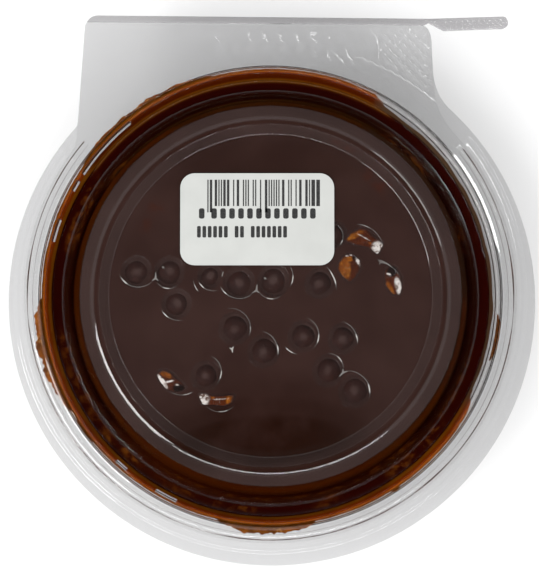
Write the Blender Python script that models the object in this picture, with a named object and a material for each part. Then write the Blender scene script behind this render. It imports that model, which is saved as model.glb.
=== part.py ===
"""A shut, clear, hinged dessert tub of chocolate mousse, topped with chocolate balls and caramelled nuts.

The bowl and its lid are thermoformed from one clear sheet and joined by a tear strip at the back of the tab.
+Z is up, the hinge tab points along +Y, and the origin is the centre of the base, on the table.
"""

import bmesh
import bpy
from math import atan2, cos, pi, radians, sin, sqrt, tan
from mathutils import Matrix, Vector, geometry

MM = 0.001

# The sheet, and the gap kept between neighbours.
WALL = 0.5 * MM
GAP = 0.3 * MM

# Heights above the table.
FLANGE_HEIGHT = 41.0 * MM
RIM_HEIGHT = FLANGE_HEIGHT + 1.2 * MM
CHANNEL_HEIGHT = FLANGE_HEIGHT - 6.8 * MM
PANEL_HEIGHT = FLANGE_HEIGHT + 2.6 * MM
RING_HEIGHT = PANEL_HEIGHT + 1.7 * MM
MOUSSE_HEIGHT = PANEL_HEIGHT - WALL - GAP

# The bowl: a flat foot, a rounded corner, a drafted wall, a wider seat for the lid, a rim and a flange.
CORNER_RADIUS = 9.0 * MM
WALL_DRAFT = radians(9.0)
SEAT_RADIUS = 60.5 * MM
SEAT_HEIGHT = CHANNEL_HEIGHT - 0.6 * MM
MOUTH_RADIUS = 63.0 * MM
RIM_INNER = 63.7 * MM
RIM_OUTER = 64.4 * MM
RIM_FOOT = 65.0 * MM
FLANGE_RADIUS = 71.1 * MM
FLANGE_SHIFT = Vector((0.4 * MM, -1.4 * MM))

# The guard rib stands round the lid's edge, so that it can't be prised up. It stops short of the tab.
RIB_INNER = 67.0 * MM
RIB_OUTER = 69.2 * MM
RIB_RISE = 1.2 * MM
RIB_ENDS = (radians(40.5), radians(144.5))
RIB_FADE = radians(3.5)

# The tab is a flat panel at the back of both sheets, wider towards the bowl.
TAB_BACK = 73.8 * MM
TAB_LEFT = -51.2 * MM
TAB_RIGHT = 42.8 * MM
TAB_FLARE = 0.057
TAB_CORNER = 5.5 * MM
LEFT_FILLET = 0.8 * MM
RIGHT_FILLET = 6.0 * MM

# The lid: a sunk panel, a stacking ring, a channel pressed into the mousse, a bead over the rim, a flange.
PANEL_RADIUS = 43.5 * MM
RING_INNER = 46.1 * MM
RING_SHOULDER = 48.2 * MM
RING_OUTER = 51.3 * MM
CHANNEL_INNER = 56.3 * MM
CHANNEL_OUTER = 59.5 * MM
PLUG_TOP = 62.1 * MM
BEAD_INNER = 62.9 * MM
BEAD_OUTER = 64.7 * MM
BEAD_FOOT = 65.9 * MM
LID_RADIUS = 66.5 * MM

# The tear strip is the fold between the two tabs, and ends in a flat pull.
HINGE_Y = 75.0 * MM
STRIP_RADIUS = 0.9 * MM
STRIP_LEFT = -49.2 * MM
STRIP_RIGHT = 41.0 * MM
PULL_WIDTH = 3.8 * MM
PULL_THICK = 0.7 * MM
PULL_START = 46.3 * MM
PULL_END = 63.9 * MM

# What is pressed into the mousse.
DIMPLE_MARGIN = 0.45 * MM
BALLS = [  # x, y and radius (mm)
    (-36.1, 6.0, 3.6),
    (-27.2, 6.1, 3.6),
    (-25.1, -2.5, 3.4),
    (-16.2, 5.1, 2.7),
    (-8.4, 3.3, 3.8),
    (0.8, 4.1, 3.8),
    (13.1, 3.2, 3.5),
    (-9.6, -9.2, 3.8),
    (-1.8, -15.2, 3.8),
    (8.7, -11.2, 3.6),
    (19.4, -11.7, 3.5),
    (15.6, -20.3, 3.7),
    (22.7, -25.7, 3.8),
    (-17.4, -22.0, 3.4),
    (16.7, 16.3, 3.2),
]
NUTS = [  # x, y, half length, half width (mm) and turn (degrees)
    (25.5, 15.3, 4.6, 2.5, -28),
    (20.8, 7.6, 3.3, 2.6, 62),
    (32.3, 5.3, 4.5, 2.6, -58),
    (-27.5, -23.1, 2.9, 2.3, -34),
    (-13.9, -29.0, 4.4, 2.1, 6),
]

# The paper label on the lid's panel.
LABEL_SIZE = (41.5 * MM, 24.9 * MM)
LABEL_CENTRE = (-3.8 * MM, 20.4 * MM)
LABEL_CORNER = 3.9 * MM
LABEL_THICK = 0.2 * MM
LABEL_TURN = radians(0.6)

# How finely the round shapes are cut.
RAY_STEP = radians(9)
MOUSSE_SEGMENTS = 40
TOPPING_SEGMENTS = 10


def clear_scene():
    for thing in list(bpy.data.objects):
        bpy.data.objects.remove(thing, do_unlink=True)


def material(name, colour, roughness, transmission=0.0):
    made = bpy.data.materials.new(name)
    made.use_nodes = True
    shader = made.node_tree.nodes["Principled BSDF"]
    shader.inputs["Base Color"].default_value = (*colour, 1.0)
    shader.inputs["Roughness"].default_value = roughness
    shader.inputs["Metallic"].default_value = 0.0
    shader.inputs["Transmission Weight"].default_value = transmission
    made.diffuse_color = (*colour, 1.0 - 0.7 * transmission)
    return made


def finish(name, bm, finish_material, smooth_below=35):
    """Turns a bmesh into a named object with its material."""
    bmesh.ops.recalc_face_normals(bm, faces=bm.faces)
    mesh = bpy.data.meshes.new(name)
    bm.to_mesh(mesh)
    bm.free()
    mesh.shade_smooth()
    mesh.set_sharp_from_angle(angle=radians(smooth_below))
    mesh.materials.append(finish_material)
    made = bpy.data.objects.new(name, mesh)
    bpy.context.scene.collection.objects.link(made)
    return made


def soft_min(a, b, width):
    """The smaller of two lengths, rounded where they cross."""
    near = max(width - abs(a - b), 0.0) / width
    return min(a, b) - near * near * width / 4


def soft_max(a, b, width):
    return -soft_min(-a, -b, width)


def tab_reach(angle):
    """How far the tab's outline is from the axis at an angle: a back edge and two flared sides, rounded."""
    away = Vector((cos(angle), sin(angle)))
    if away.y < 0.3:
        return 0.0
    back = TAB_BACK / away.y
    side = TAB_RIGHT if away.x > 0 else TAB_LEFT
    lean = TAB_FLARE if away.x > 0 else -TAB_FLARE
    across = away.x + lean * away.y
    if abs(across) < 0.3:
        return back
    return soft_min(back, (side + lean * TAB_BACK) / across, TAB_CORNER)


def outline_reach(angle, radius, shift):
    """How far a flange reaches: a circle that runs into the tab, with a wide fillet on the right."""
    away = Vector((cos(angle), sin(angle)))
    along = away.dot(shift)
    circle = along + sqrt(along**2 - shift.length_squared + radius**2)
    fillet = RIGHT_FILLET if away.x > 0 else LEFT_FILLET
    return soft_max(circle, tab_reach(angle), fillet)


def bowl_reach(angle):
    return outline_reach(angle, FLANGE_RADIUS, FLANGE_SHIFT)


def lid_reach(angle):
    return outline_reach(angle, LID_RADIUS, Vector((0, 0)))


def rib_share(angle):
    """1 where the guard rib stands at full height, fading to 0 towards the tab."""
    turned = (angle + pi / 2) % (2 * pi) - pi / 2
    into_tab = min(turned - RIB_ENDS[0], RIB_ENDS[1] - turned)
    return min(max(-into_tab / RIB_FADE, 0.0), 1.0)


def meeting_angle(radius, shift):
    """The angle at which the tab's left side meets a flange's circle."""
    turn = pi / 2
    while tab_reach(turn) > outline_reach(turn, radius, shift) - LEFT_FILLET / 2:
        turn += radians(0.1)
    return turn


def ray_angles():
    """Even rays, with close ones at the tab's corners, its fillets and the ends of the guard rib."""
    corners = [atan2(TAB_BACK, TAB_RIGHT), atan2(TAB_BACK, TAB_LEFT)]
    close = [corner + radians(turn) for corner in corners for turn in (-2.2, -0.7, 0.7, 2.2)]
    close += [meeting_angle(LID_RADIUS, Vector((0, 0))), meeting_angle(FLANGE_RADIUS, FLANGE_SHIFT)]
    close += [RIB_ENDS[0] - RIB_FADE, RIB_ENDS[0], RIB_ENDS[1], RIB_ENDS[1] + RIB_FADE]
    close += [radians(turn) for turn in (47, 50, 53, 56)]
    even = [k * RAY_STEP for k in range(round(2 * pi / RAY_STEP))]
    apart = [a for a in even if min(abs(a - c) for c in close) > radians(1.5)]
    return sorted(apart + close)


def offset_below(profile, thickness):
    """The profile moved down its own normals, with mitred corners."""
    moved = []
    for k, here in enumerate(profile):
        before = profile[max(k - 1, 0)]
        after = profile[min(k + 1, len(profile) - 1)]
        first = (here - before).normalized() if k else Vector((1, 0))
        second = (after - here).normalized() if after is not here else Vector((1, 0))
        mean = (first + second).normalized()
        across = Vector((mean.y, -mean.x))
        moved.append(here + across * thickness / max(mean.dot(first), 0.5))
    return moved


def formed_sheet(name, profile_at, finish_material):
    """A closed sheet of even thickness, from a profile that may change from ray to ray."""
    bm = bmesh.new()
    angles = ray_angles()
    rings = []
    for angle in angles:
        top = profile_at(angle)
        below = offset_below(top, WALL)
        loop = top[1:] + below[:0:-1]
        rings.append([bm.verts.new((p.x * cos(angle), p.x * sin(angle), p.y)) for p in loop])
    start = profile_at(0.0)[0]
    top_pole = bm.verts.new((0, 0, start.y))
    low_pole = bm.verts.new((0, 0, start.y - WALL))
    for here, after in zip(rings, rings[1:] + rings[:1]):
        bm.faces.new((top_pole, here[0], after[0]))
        bm.faces.new((low_pole, after[-1], here[-1]))
        for k in range(len(here) - 1):
            bm.faces.new((here[k], here[k + 1], after[k + 1], after[k]))
    finish(name, bm, finish_material)


def bowl_wall(gap=0.0):
    """The inside of the bowl from the foot's edge to the mouth, drawn in by a gap."""
    steps = 3
    lean = pi / 2 - WALL_DRAFT
    sharp = SEAT_RADIUS - (SEAT_HEIGHT - WALL) * tan(WALL_DRAFT)
    pivot = Vector((sharp - CORNER_RADIUS * tan(lean / 2), WALL + CORNER_RADIUS))
    corner = [pivot + Vector((sin(turn), -cos(turn))) * (CORNER_RADIUS - gap)
              for turn in (lean * k / steps for k in range(steps + 1))]
    return corner + [Vector((SEAT_RADIUS - gap, SEAT_HEIGHT))]


def bowl_profile(angle):
    """The bowl's inside and the top of its flange, from the axis outwards. Rim and rib are flat at the tab."""
    share = rib_share(angle)
    rim = FLANGE_HEIGHT + (RIM_HEIGHT - FLANGE_HEIGHT) * share
    rib = FLANGE_HEIGHT + RIB_RISE * share
    slope = 0.6 * MM
    return [
        Vector((0, WALL)),
        *bowl_wall(),
        Vector((MOUTH_RADIUS, FLANGE_HEIGHT + 0.4 * MM * share)),
        Vector((RIM_INNER, rim)),
        Vector((RIM_OUTER, rim)),
        Vector((RIM_FOOT, FLANGE_HEIGHT)),
        Vector((RIB_INNER, FLANGE_HEIGHT)),
        Vector((RIB_INNER + slope, rib)),
        Vector((RIB_OUTER - slope, rib)),
        Vector((RIB_OUTER, FLANGE_HEIGHT)),
        Vector((bowl_reach(angle), FLANGE_HEIGHT)),
    ]


def lid_profile(angle):
    """The top of the lid, from the axis outwards. Its bead is flat at the tab."""
    edge = FLANGE_HEIGHT + GAP + WALL
    bead = edge + (RIM_HEIGHT - FLANGE_HEIGHT) * rib_share(angle)
    return [
        Vector((0, PANEL_HEIGHT)),
        Vector((PANEL_RADIUS, PANEL_HEIGHT)),
        Vector((RING_INNER, RING_HEIGHT)),
        Vector((RING_SHOULDER, RING_HEIGHT - 0.2 * MM)),
        Vector((RING_OUTER, PANEL_HEIGHT)),
        Vector((CHANNEL_INNER, CHANNEL_HEIGHT)),
        Vector((CHANNEL_OUTER, CHANNEL_HEIGHT)),
        Vector((PLUG_TOP, FLANGE_HEIGHT + 0.8 * MM)),
        Vector((BEAD_INNER, bead)),
        Vector((BEAD_OUTER, bead)),
        Vector((BEAD_FOOT, edge)),
        Vector((lid_reach(angle), edge)),
    ]


def tear_strip(finish_material):
    """The folded strip that joins the two tabs, and the flat pull at its right-hand end."""
    middle = FLANGE_HEIGHT + GAP / 2
    half, thin = PULL_WIDTH / 2, PULL_THICK / 2
    stations = [  # x, half width, half thickness
        (STRIP_LEFT, STRIP_RADIUS, STRIP_RADIUS),
        (STRIP_RIGHT, STRIP_RADIUS, STRIP_RADIUS),
        (STRIP_RIGHT + 1.4 * MM, 0.8 * MM, thin),
        (PULL_START, half, thin),
        (PULL_END - 4.0 * MM, half, thin),
        (PULL_END - 1.2 * MM, 0.72 * half, thin),
        (PULL_END, 0.3 * half, thin),
    ]
    bm = bmesh.new()
    turns = [pi / 8 + k * pi / 4 for k in range(8)]
    loops = [[bm.verts.new((x, HINGE_Y + wide * cos(a), middle + thick * sin(a))) for a in turns]
             for x, wide, thick in stations]
    for here, after in zip(loops, loops[1:]):
        bridge(bm, here, after)
    bm.faces.new(loops[0])
    bm.faces.new(loops[-1])
    finish("tear_strip", bm, finish_material)


def bridge(bm, here, after):
    """Joins two closed loops of as many vertices."""
    for k in range(len(here)):
        beyond = (k + 1) % len(here)
        bm.faces.new((here[k], here[beyond], after[beyond], after[k]))


class Topping:
    """A ball or a nut that is pressed into the mousse up to its surface."""

    def __init__(self, name, place, size, turn):
        self.name = name
        self.place = Vector(place) * MM
        self.size = Vector(size) * MM
        self.turn = radians(turn)

    def oval(self, margin):
        """Points round the topping's outline, let out by a margin."""
        spin = Matrix.Rotation(self.turn, 2)
        turns = [2 * pi * k / TOPPING_SEGMENTS for k in range(TOPPING_SEGMENTS)]
        return [self.place + spin @ Vector(((self.size.x + margin) * cos(a), (self.size.y + margin) * sin(a)))
                for a in turns]

    def covers(self, point):
        """True if a point lies within the dimple's brim."""
        local = Matrix.Rotation(-self.turn, 2) @ (point - self.place)
        reach = self.size.xy + Vector((DIMPLE_MARGIN, DIMPLE_MARGIN))
        return (local.x / reach.x) ** 2 + (local.y / reach.y) ** 2 < 0.85


def toppings():
    balls = [Topping(f"ball_{k:02d}", (x, y), (radius, radius, radius), 0)
             for k, (x, y, radius) in enumerate(BALLS, 1)]
    nuts = [Topping(f"nut_{k:02d}", (x, y), (long, wide, 0.9 * wide), turn)
            for k, (x, y, long, wide, turn) in enumerate(NUTS, 1)]
    return balls, nuts


def mousse_side():
    """The mousse's outline from its foot up the bowl, in under the lid's channel and up to its flat top."""
    under = CHANNEL_HEIGHT - WALL - GAP
    lean = (CHANNEL_INNER - RING_OUTER) / (PANEL_HEIGHT - CHANNEL_HEIGHT)
    wall = WALL + 2 * GAP
    return [
        *bowl_wall(GAP)[:-1],
        Vector((SEAT_RADIUS - GAP - (SEAT_HEIGHT - under) * tan(WALL_DRAFT), under)),
        Vector((CHANNEL_INNER - wall, under)),
        Vector((RING_OUTER - wall + (PANEL_HEIGHT - MOUSSE_HEIGHT) * lean, MOUSSE_HEIGHT)),
    ]


def mousse(finish_material):
    """The mousse fills the bowl up to the lid, with a dimple under each topping."""
    bm = bmesh.new()
    steps = [2 * pi * k / MOUSSE_SEGMENTS for k in range(MOUSSE_SEGMENTS)]
    rings = [[bm.verts.new((p.x * cos(a), p.x * sin(a), p.y)) for a in steps] for p in mousse_side()]
    for low, high in zip(rings, rings[1:]):
        bridge(bm, low, high)
    bm.faces.new(rings[0])

    pressed = [topping for kind in toppings() for topping in kind]
    brims = [rings[-1]]
    for topping in pressed:
        brims.append(dimple(bm, topping))
    edges = []
    for brim in brims:
        first = len(edges)
        edges += [(first + k, first + (k + 1) % len(brim)) for k in range(len(brim))]
    verts = [v for brim in brims for v in brim]
    flat = [v.co.xy for v in verts]
    points, _, faces, _, _, _ = geometry.delaunay_2d_cdt(flat, edges, [], 1, 1e-7)
    if len(points) != len(verts):
        raise ValueError("two dimples meet")
    for face in faces:
        middle = sum((points[k] for k in face), Vector((0, 0))) / len(face)
        if not any(topping.covers(middle) for topping in pressed):
            bm.faces.new([verts[k] for k in face])
    finish("mousse", bm, finish_material, 50)


def dimple(bm, topping):
    """The hollow under a topping. Returns its brim."""
    centre = MOUSSE_HEIGHT - topping.size.z
    rows = [
        (DIMPLE_MARGIN, MOUSSE_HEIGHT),
        (DIMPLE_MARGIN, centre),
        (-0.22 * topping.size.y, centre - 0.9 * topping.size.z),
    ]
    rings = [[bm.verts.new((*p, height)) for p in topping.oval(margin)] for margin, height in rows]
    for high, low in zip(rings, rings[1:]):
        bridge(bm, high, low)
    bottom = bm.verts.new((*topping.place, centre - topping.size.z - DIMPLE_MARGIN))
    last = rings[-1]
    for k in range(len(last)):
        bm.faces.new((last[k], last[(k + 1) % len(last)], bottom))
    return rings[0]


def ball(topping, finish_material):
    bm = bmesh.new()
    bmesh.ops.create_uvsphere(bm, u_segments=TOPPING_SEGMENTS, v_segments=6, radius=1.0)
    place_topping(bm, topping, finish_material)


def nut(topping, finish_material):
    """A broken half of a kernel: a lump with furrows."""
    bm = bmesh.new()
    bmesh.ops.create_icosphere(bm, subdivisions=2, radius=1.0)
    for v in bm.verts:
        v.co *= 1.0 - 0.12 * abs(sin(5.0 * v.co.x + 3.0 * v.co.y) * cos(4.0 * v.co.z))
    place_topping(bm, topping, finish_material)


def place_topping(bm, topping, finish_material):
    bmesh.ops.scale(bm, vec=topping.size, verts=bm.verts)
    made = finish(topping.name, bm, finish_material, 60)
    made.location = (*topping.place, MOUSSE_HEIGHT - topping.size.z)
    made.rotation_euler.z = topping.turn


def label(finish_material):
    """A rounded paper label on the lid's panel."""
    bm = bmesh.new()
    half = Vector(LABEL_SIZE) / 2
    inner = half - Vector((LABEL_CORNER, LABEL_CORNER))
    outline = []
    for quarter, (sx, sy) in enumerate([(1, 1), (-1, 1), (-1, -1), (1, -1)]):
        for k in range(5):
            a = (quarter + k / 4) * pi / 2
            outline.append((sx * inner.x + LABEL_CORNER * cos(a), sy * inner.y + LABEL_CORNER * sin(a), 0))
    face = bm.faces.new([bm.verts.new(p) for p in outline])
    raised = bmesh.ops.extrude_face_region(bm, geom=[face])["geom"]
    lifted = [part for part in raised if isinstance(part, bmesh.types.BMVert)]
    bmesh.ops.translate(bm, vec=(0, 0, LABEL_THICK), verts=lifted)
    made = finish("label", bm, finish_material)
    made.location = (*LABEL_CENTRE, PANEL_HEIGHT + GAP)
    made.rotation_euler.z = LABEL_TURN


def main():
    clear_scene()
    clear = material("clear_sheet", (0.93, 0.94, 0.95), 0.08, transmission=0.9)
    dark = material("mousse", (0.05, 0.02, 0.012), 0.35)
    chocolate = material("chocolate", (0.04, 0.018, 0.012), 0.3)
    caramel = material("caramelled_nut", (0.45, 0.16, 0.03), 0.25)
    paper = material("paper", (0.86, 0.87, 0.85), 0.6)
    formed_sheet("bowl", bowl_profile, clear)
    formed_sheet("lid", lid_profile, clear)
    tear_strip(clear)
    mousse(dark)
    balls, nuts = toppings()
    for topping in balls:
        ball(topping, chocolate)
    for topping in nuts:
        nut(topping, caramel)
    label(paper)


main()
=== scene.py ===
"""Looks of a shut clear tub of chocolate mousse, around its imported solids.

Metres, +Z up, and the hinge tab at +Y.
"""

from bisect import bisect_right
from math import atan2, cos, degrees, floor, pi, radians, sin, sqrt, tan

import bmesh
import bpy
from bpy.props import FloatProperty, FloatVectorProperty, IntProperty, PointerProperty
from mathutils import Matrix, Vector, geometry, noise


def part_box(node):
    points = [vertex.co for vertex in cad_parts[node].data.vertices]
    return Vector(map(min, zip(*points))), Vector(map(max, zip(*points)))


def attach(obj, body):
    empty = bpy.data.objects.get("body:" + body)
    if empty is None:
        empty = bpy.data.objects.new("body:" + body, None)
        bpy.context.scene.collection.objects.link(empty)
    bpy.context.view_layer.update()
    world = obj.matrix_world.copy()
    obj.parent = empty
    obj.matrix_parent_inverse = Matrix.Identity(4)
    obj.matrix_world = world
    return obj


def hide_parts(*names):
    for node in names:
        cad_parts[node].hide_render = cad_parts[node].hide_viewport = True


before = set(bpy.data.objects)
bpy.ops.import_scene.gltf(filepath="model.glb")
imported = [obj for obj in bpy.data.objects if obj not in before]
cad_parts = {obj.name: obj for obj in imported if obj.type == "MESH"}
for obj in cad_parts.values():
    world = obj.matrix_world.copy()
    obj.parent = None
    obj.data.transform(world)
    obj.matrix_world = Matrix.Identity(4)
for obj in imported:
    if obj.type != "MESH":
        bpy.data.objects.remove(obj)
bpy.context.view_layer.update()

bl_info = {
    "name": "Tub of chocolate mousse",
    "version": (1, 0, 0),
    "blender": (4, 5, 0),
    "location": "3D View > Sidebar > Mousse",
    "description": "Makes a clear hinged tub of chocolate mousse with chocolate balls and caramelled nuts",
    "category": "Object",
}

MM = 0.001


# ---------------------------------------------------------------- settings

def length(name, description, millimetres):
    """A size that the user gives as a length."""
    return FloatProperty(name=name, description=description, default=millimetres * MM, unit="LENGTH",
                         precision=5)


def slant(name, description, turn):
    return FloatProperty(name=name, description=description, default=radians(turn), subtype="ANGLE")


def number(name, description, value):
    return FloatProperty(name=name, description=description, default=value)


def tint(name, description, colour):
    return FloatVectorProperty(name=name, description=description, default=colour, size=3, subtype="COLOR")


def top_of(node):
    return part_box(node)[1].z / MM


def foot_of(node):
    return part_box(node)[0].z / MM


class TubSizes(bpy.types.PropertyGroup):
    """Sizes of the bowl and of the tab that both sheets share."""

    wall: length("Foot sheet", "Thickness of the clear sheet at the foot", 0.5)
    sheet: length("Rim sheet", "Thickness of the clear sheet at the rim, the tab and the lid", 0.3)
    gap: length("Gap", "Room between the bowl and the lid", 0.3)
    flange: length("Flange height", "Top of the bowl's flange above the table", top_of("bowl") - 1.2)
    rim: length("Rim height", "Top of the bowl's rim above the table", 41.4)
    corner: length("Corner", "Radius inside the foot's corner", 9.0)
    draft: slant("Draft", "Lean of the wall", 9)
    seat_radius: length("Seat radius", "Inside radius where the wall meets the lid's seat", 60.5)
    seat_height: length("Seat height", "Height where the wall meets the lid's seat", 33.6)
    mouth: length("Mouth radius", "Inside radius just under the rim", 62.6)
    rim_inner: length("Rim inside", "Radius where the rim's flat top starts", 63.6)
    rim_outer: length("Rim outside", "Radius where the rim's flat top ends", 64.2)
    rim_foot: length("Rim foot", "Radius where the rim meets the flange", 65.0)
    flange_radius: length("Flange radius", "Outer radius of the flange", 71.1)
    flange_x: length("Flange shift X", "The flange's centre to the right of the bowl's axis", 0.4)
    flange_y: length("Flange shift Y", "The flange's centre behind the bowl's axis", -1.4)
    rib_inner: length("Rib inside", "Inner foot of the guard rib", 66.9)
    rib_outer: length("Rib outside", "Outer foot of the guard rib", 69.4)
    rib_rise: length("Rib rise", "Height of the guard rib over the flange", 0.42)
    rib_slope: length("Rib slope", "Width of each side of the guard rib", 0.75)
    rib_start: slant("Rib start", "Right-hand end", 40.5)
    rib_end: slant("Rib end", "Left-hand end", 144.5)
    rib_fade: slant("Rib fade", "Length of its ends", 3.5)
    tab_back: length("Tab back", "Back edge of the tab, against the strip", 74.15)
    tab_left: length("Tab left", "Left edge at the back", -51.2)
    tab_right: length("Tab right", "Right edge at the back", 42.8)
    tab_flare: number("Tab flare", "Widening towards the bowl", 0.057)
    tab_corner: length("Tab corner", "Rounding of the back right corner", 5.5)
    left_corner: length("Left corner", "Rounding of the back left corner", 2.0)
    left_fillet: length("Left fillet", "Rounding where the tab's left side meets the flange", 0.8)
    right_fillet: length("Right fillet", "Rounding where the tab's right side meets the flange", 6.0)


class LidSizes(bpy.types.PropertyGroup):
    """Sizes of the lid."""

    panel: length("Panel height", "Top of the sunk panel", 43.6)
    ring: length("Ring height", "Top of the stacking ring", top_of("lid"))
    channel: length("Channel height", "Top of the channel's floor", foot_of("lid") + 0.5)
    panel_radius: length("Panel radius", "Edge of the panel", 43.5)
    ring_inner: length("Ring inside", "Inner edge of the ring's top", 46.1)
    ring_shoulder: length("Ring shoulder", "Where the ring's flat top turns down", 47.7)
    ring_outer: length("Ring outside", "Where the ring meets the channel's inner wall", 51.3)
    channel_inner: length("Channel inside", "Inner edge of the channel's floor", 56.3)
    channel_outer: length("Channel outside", "Outer edge of the channel's floor", 59.5)
    ledge: length("Ledge", "Inner edge of the small ledge in the plug wall", 60.8)
    ledge_width: length("Ledge width", "Width of that ledge", 0.75)
    ledge_drop: length("Ledge drop", "How far the ledge is below the lid's flange", 1.9)
    plug_top: length("Plug top", "Radius where the plug wall meets the bead", 62.1)
    bead_inner: length("Bead inside", "Inner edge of the bead's top", 63.1)
    bead_outer: length("Bead outside", "Outer edge of the bead's top", 64.9)
    bead_foot: length("Bead foot", "Radius where the bead meets the lid's flange", 65.7)
    radius: length("Lid radius", "Edge of the lid's flange", 66.5)


class EmbossSizes(bpy.types.PropertyGroup):
    """Sizes of what is pressed into the lid's tab and the pull."""

    pitch: length("Hatch pitch", "Distance between hatch lines", 1.92)
    width: length("Ridge width", "Half the width of a pressed ridge", 0.2)
    rise: length("Ridge rise", "Height of a pressed ridge", 0.15)
    border: length("Border", "Plain border of the tab", 1.6)
    inner: length("Hatch start", "Radius of the row of strokes at which the hatching starts", 69.3)
    stroke: length("Stroke", "How far a slanted stroke of that row reaches sideways", 0.55)
    arrow: length("Arrow", "Half the height of a pressed arrow", 1.25)


class StripSizes(bpy.types.PropertyGroup):
    """Sizes of the tear strip and its pull."""

    hinge_y: length("Fold", "Distance of the fold behind the axis", 75.0)
    radius: length("Strip radius", "Half the strip's width", 0.95)
    left: length("Strip left", "Left end of the strip", -51.1)
    corner: length("Strip corner", "Radius of the strip's outer left corner", 3.3)
    right: length("Strip right", "Right end of the strip", 41.0)
    pull_width: length("Pull width", "Width of the pull", 3.5)
    pull_thick: length("Pull thickness", "Thickness of the pull", 0.6)
    pull_start: length("Pull start", "Where the pull reaches its full width", 46.3)
    pull_end: length("Pull end", "Tip of the pull", 63.9)
    pull_bend: slant("Bend", "Lean of the pull", 2.5)


class MousseSizes(bpy.types.PropertyGroup):
    """Sizes of the mousse and of the hollows round its toppings."""

    bite: length("Bite", "How far the mousse reaches into the sheets, so that no air shows", 0.06)
    pocket: length("Pocket", "Width of the air pocket round a topping", 0.9)
    depth: length("Pocket depth", "Depth of the air pocket", 1.1)
    sharp: length("Sharp lip", "How fast the pocket falls on its sharp side", 0.35)
    soft: length("Soft lip", "How fast the pocket falls on its soft side", 1.3)
    rounds: IntProperty(name="Rounds", description="Faces round the mousse", default=500)
    grain: length("Grain", "Distance between rings on the top", 0.44)
    ball_rise: length("Ball rise", "Height of a ball's pressed top half", 2.0)
    # The lips and webs are thin strips that carry painted highlights.
    lip: length("Lip", "Half width of the lips of the pockets", 0.14)
    web: length("Web", "Half width of the webs between two lips", 0.3)
    film_edge: length("Film edge", "Radius where the film between the walls ends", 62.0)
    film_low: length("Low film edge", "Radius where it ends on the side that stayed clean", 60.5)
    slot_inner: length("Slot inside", "Inner radius of the slots that stay clear in the film", 60.6)
    slot_outer: length("Slot outside", "Outer radius of the slots that stay clear in the film", 61.4)


class LabelSizes(bpy.types.PropertyGroup):
    """Sizes of the label's print."""

    corner: length("Corner", "Radius of the label's corners", 3.9)
    bar_height: length("Bar height", "Height of the bars", 7.15)
    module: length("Module", "Width of the thinnest bar", 0.33)
    ink: length("Ink", "Thickness of the ink", 0.02)


class Finishes(bpy.types.PropertyGroup):
    """Colours of the finishes."""

    plastic: tint("Plastic", "Clear sheet", (0.75, 0.75, 0.755))
    lid_plastic: tint("Lid plastic", "Thinner clear sheet of the lid", (0.98, 0.98, 0.98))
    folded: tint("Folded plastic", "Thicker sheet of the tear strip and its pull", (0.50, 0.492, 0.50))
    mousse_dark: tint("Mousse dark", "Darker mousse", (0.0250, 0.0112, 0.0090))
    mousse_light: tint("Mousse light", "Lighter mousse", (0.0320, 0.0150, 0.0122))
    smear: tint("Smear", "Thin mousse in the lid's channel", (0.110, 0.030, 0.003))
    # The film's top colour is partly the thin mousse's own tone and partly painted glow of light shining
    # through it.
    film_top_and_glow: tint("Film top", "Thinnest mousse at the wall", (0.225, 0.068, 0.0024))
    film_foot: tint("Film foot", "Thickest mousse at the wall", (0.05, 0.006, 0.0005))
    leak: tint("Leak", "Mousse squeezed over the rim", (0.225, 0.060, 0.0030))
    residue: tint("Residue", "Mousse dried in the creases of the rim", (0.036, 0.015, 0.009))
    # Colour of the painted highlight on the pockets' lips.
    lip: tint("Lip", "Glossy lip of an air pocket", (0.42, 0.405, 0.385))
    chocolate: tint("Chocolate", "Coating of the balls", (0.0172, 0.0056, 0.0042))
    # The bright caramel is partly the thin caramel's own tone and partly painted glow of light shining through
    # it.
    caramel: tint("Caramel", "Thin, bright caramel", (0.20, 0.052, 0.0028))
    caramel_dark: tint("Dark caramel", "Thick caramel", (0.030, 0.006, 0.0016))
    # Pale crazed sugar, partly painted glare.
    sugar: tint("Sugar", "Crazed sugar on the nuts", (0.58, 0.54, 0.51))
    paper: tint("Paper", "Label", (0.51, 0.518, 0.498))
    ink: tint("Ink", "Print on the label", (0.012, 0.012, 0.012))
    floor: tint("Floor", "Pale floor", (0.95, 0.95, 0.95))


class StageSettings(bpy.types.PropertyGroup):
    """Where the camera stands and how strong the lights are."""

    distance: length("Camera distance", "Height of the camera over the flange", 600)
    aim_x: length("Aim X", "Point that the camera looks at", -0.3)
    aim_y: length("Aim Y", "Point that the camera looks at", 2.2)
    in_front: length("Camera in front", "How far the camera stands in front of that point", 39.5)
    frame_height: length("Frame height", "Height of the frame at the flange", 155.4)
    roll: slant("Roll", "Roll of the camera", 0.6)
    key: number("Key", "Power of the softbox at the front left", 2.7)
    front: number("Front", "Power of the long softbox at the front", 1.7)
    back: number("Back", "Power of the softbox at the back right", 0.5)
    room: number("Room", "Strength of the room that gloss reflects", 2.0)
    ambient: number("Ambient", "Strength of the even light from all sides", 0.85)


SETTINGS = {
    "tub": TubSizes,
    "lid": LidSizes,
    "emboss": EmbossSizes,
    "strip": StripSizes,
    "mousse": MousseSizes,
    "label": LabelSizes,
    "finish": Finishes,
    "stage": StageSettings,
}


class MousseSettings(bpy.types.PropertyGroup):
    """All settings of the tub."""

    __annotations__ = {name: PointerProperty(type=group) for name, group in SETTINGS.items()}


def settings():
    return bpy.context.scene.mousse_tub


# ---------------------------------------------------------------- toppings

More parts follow.
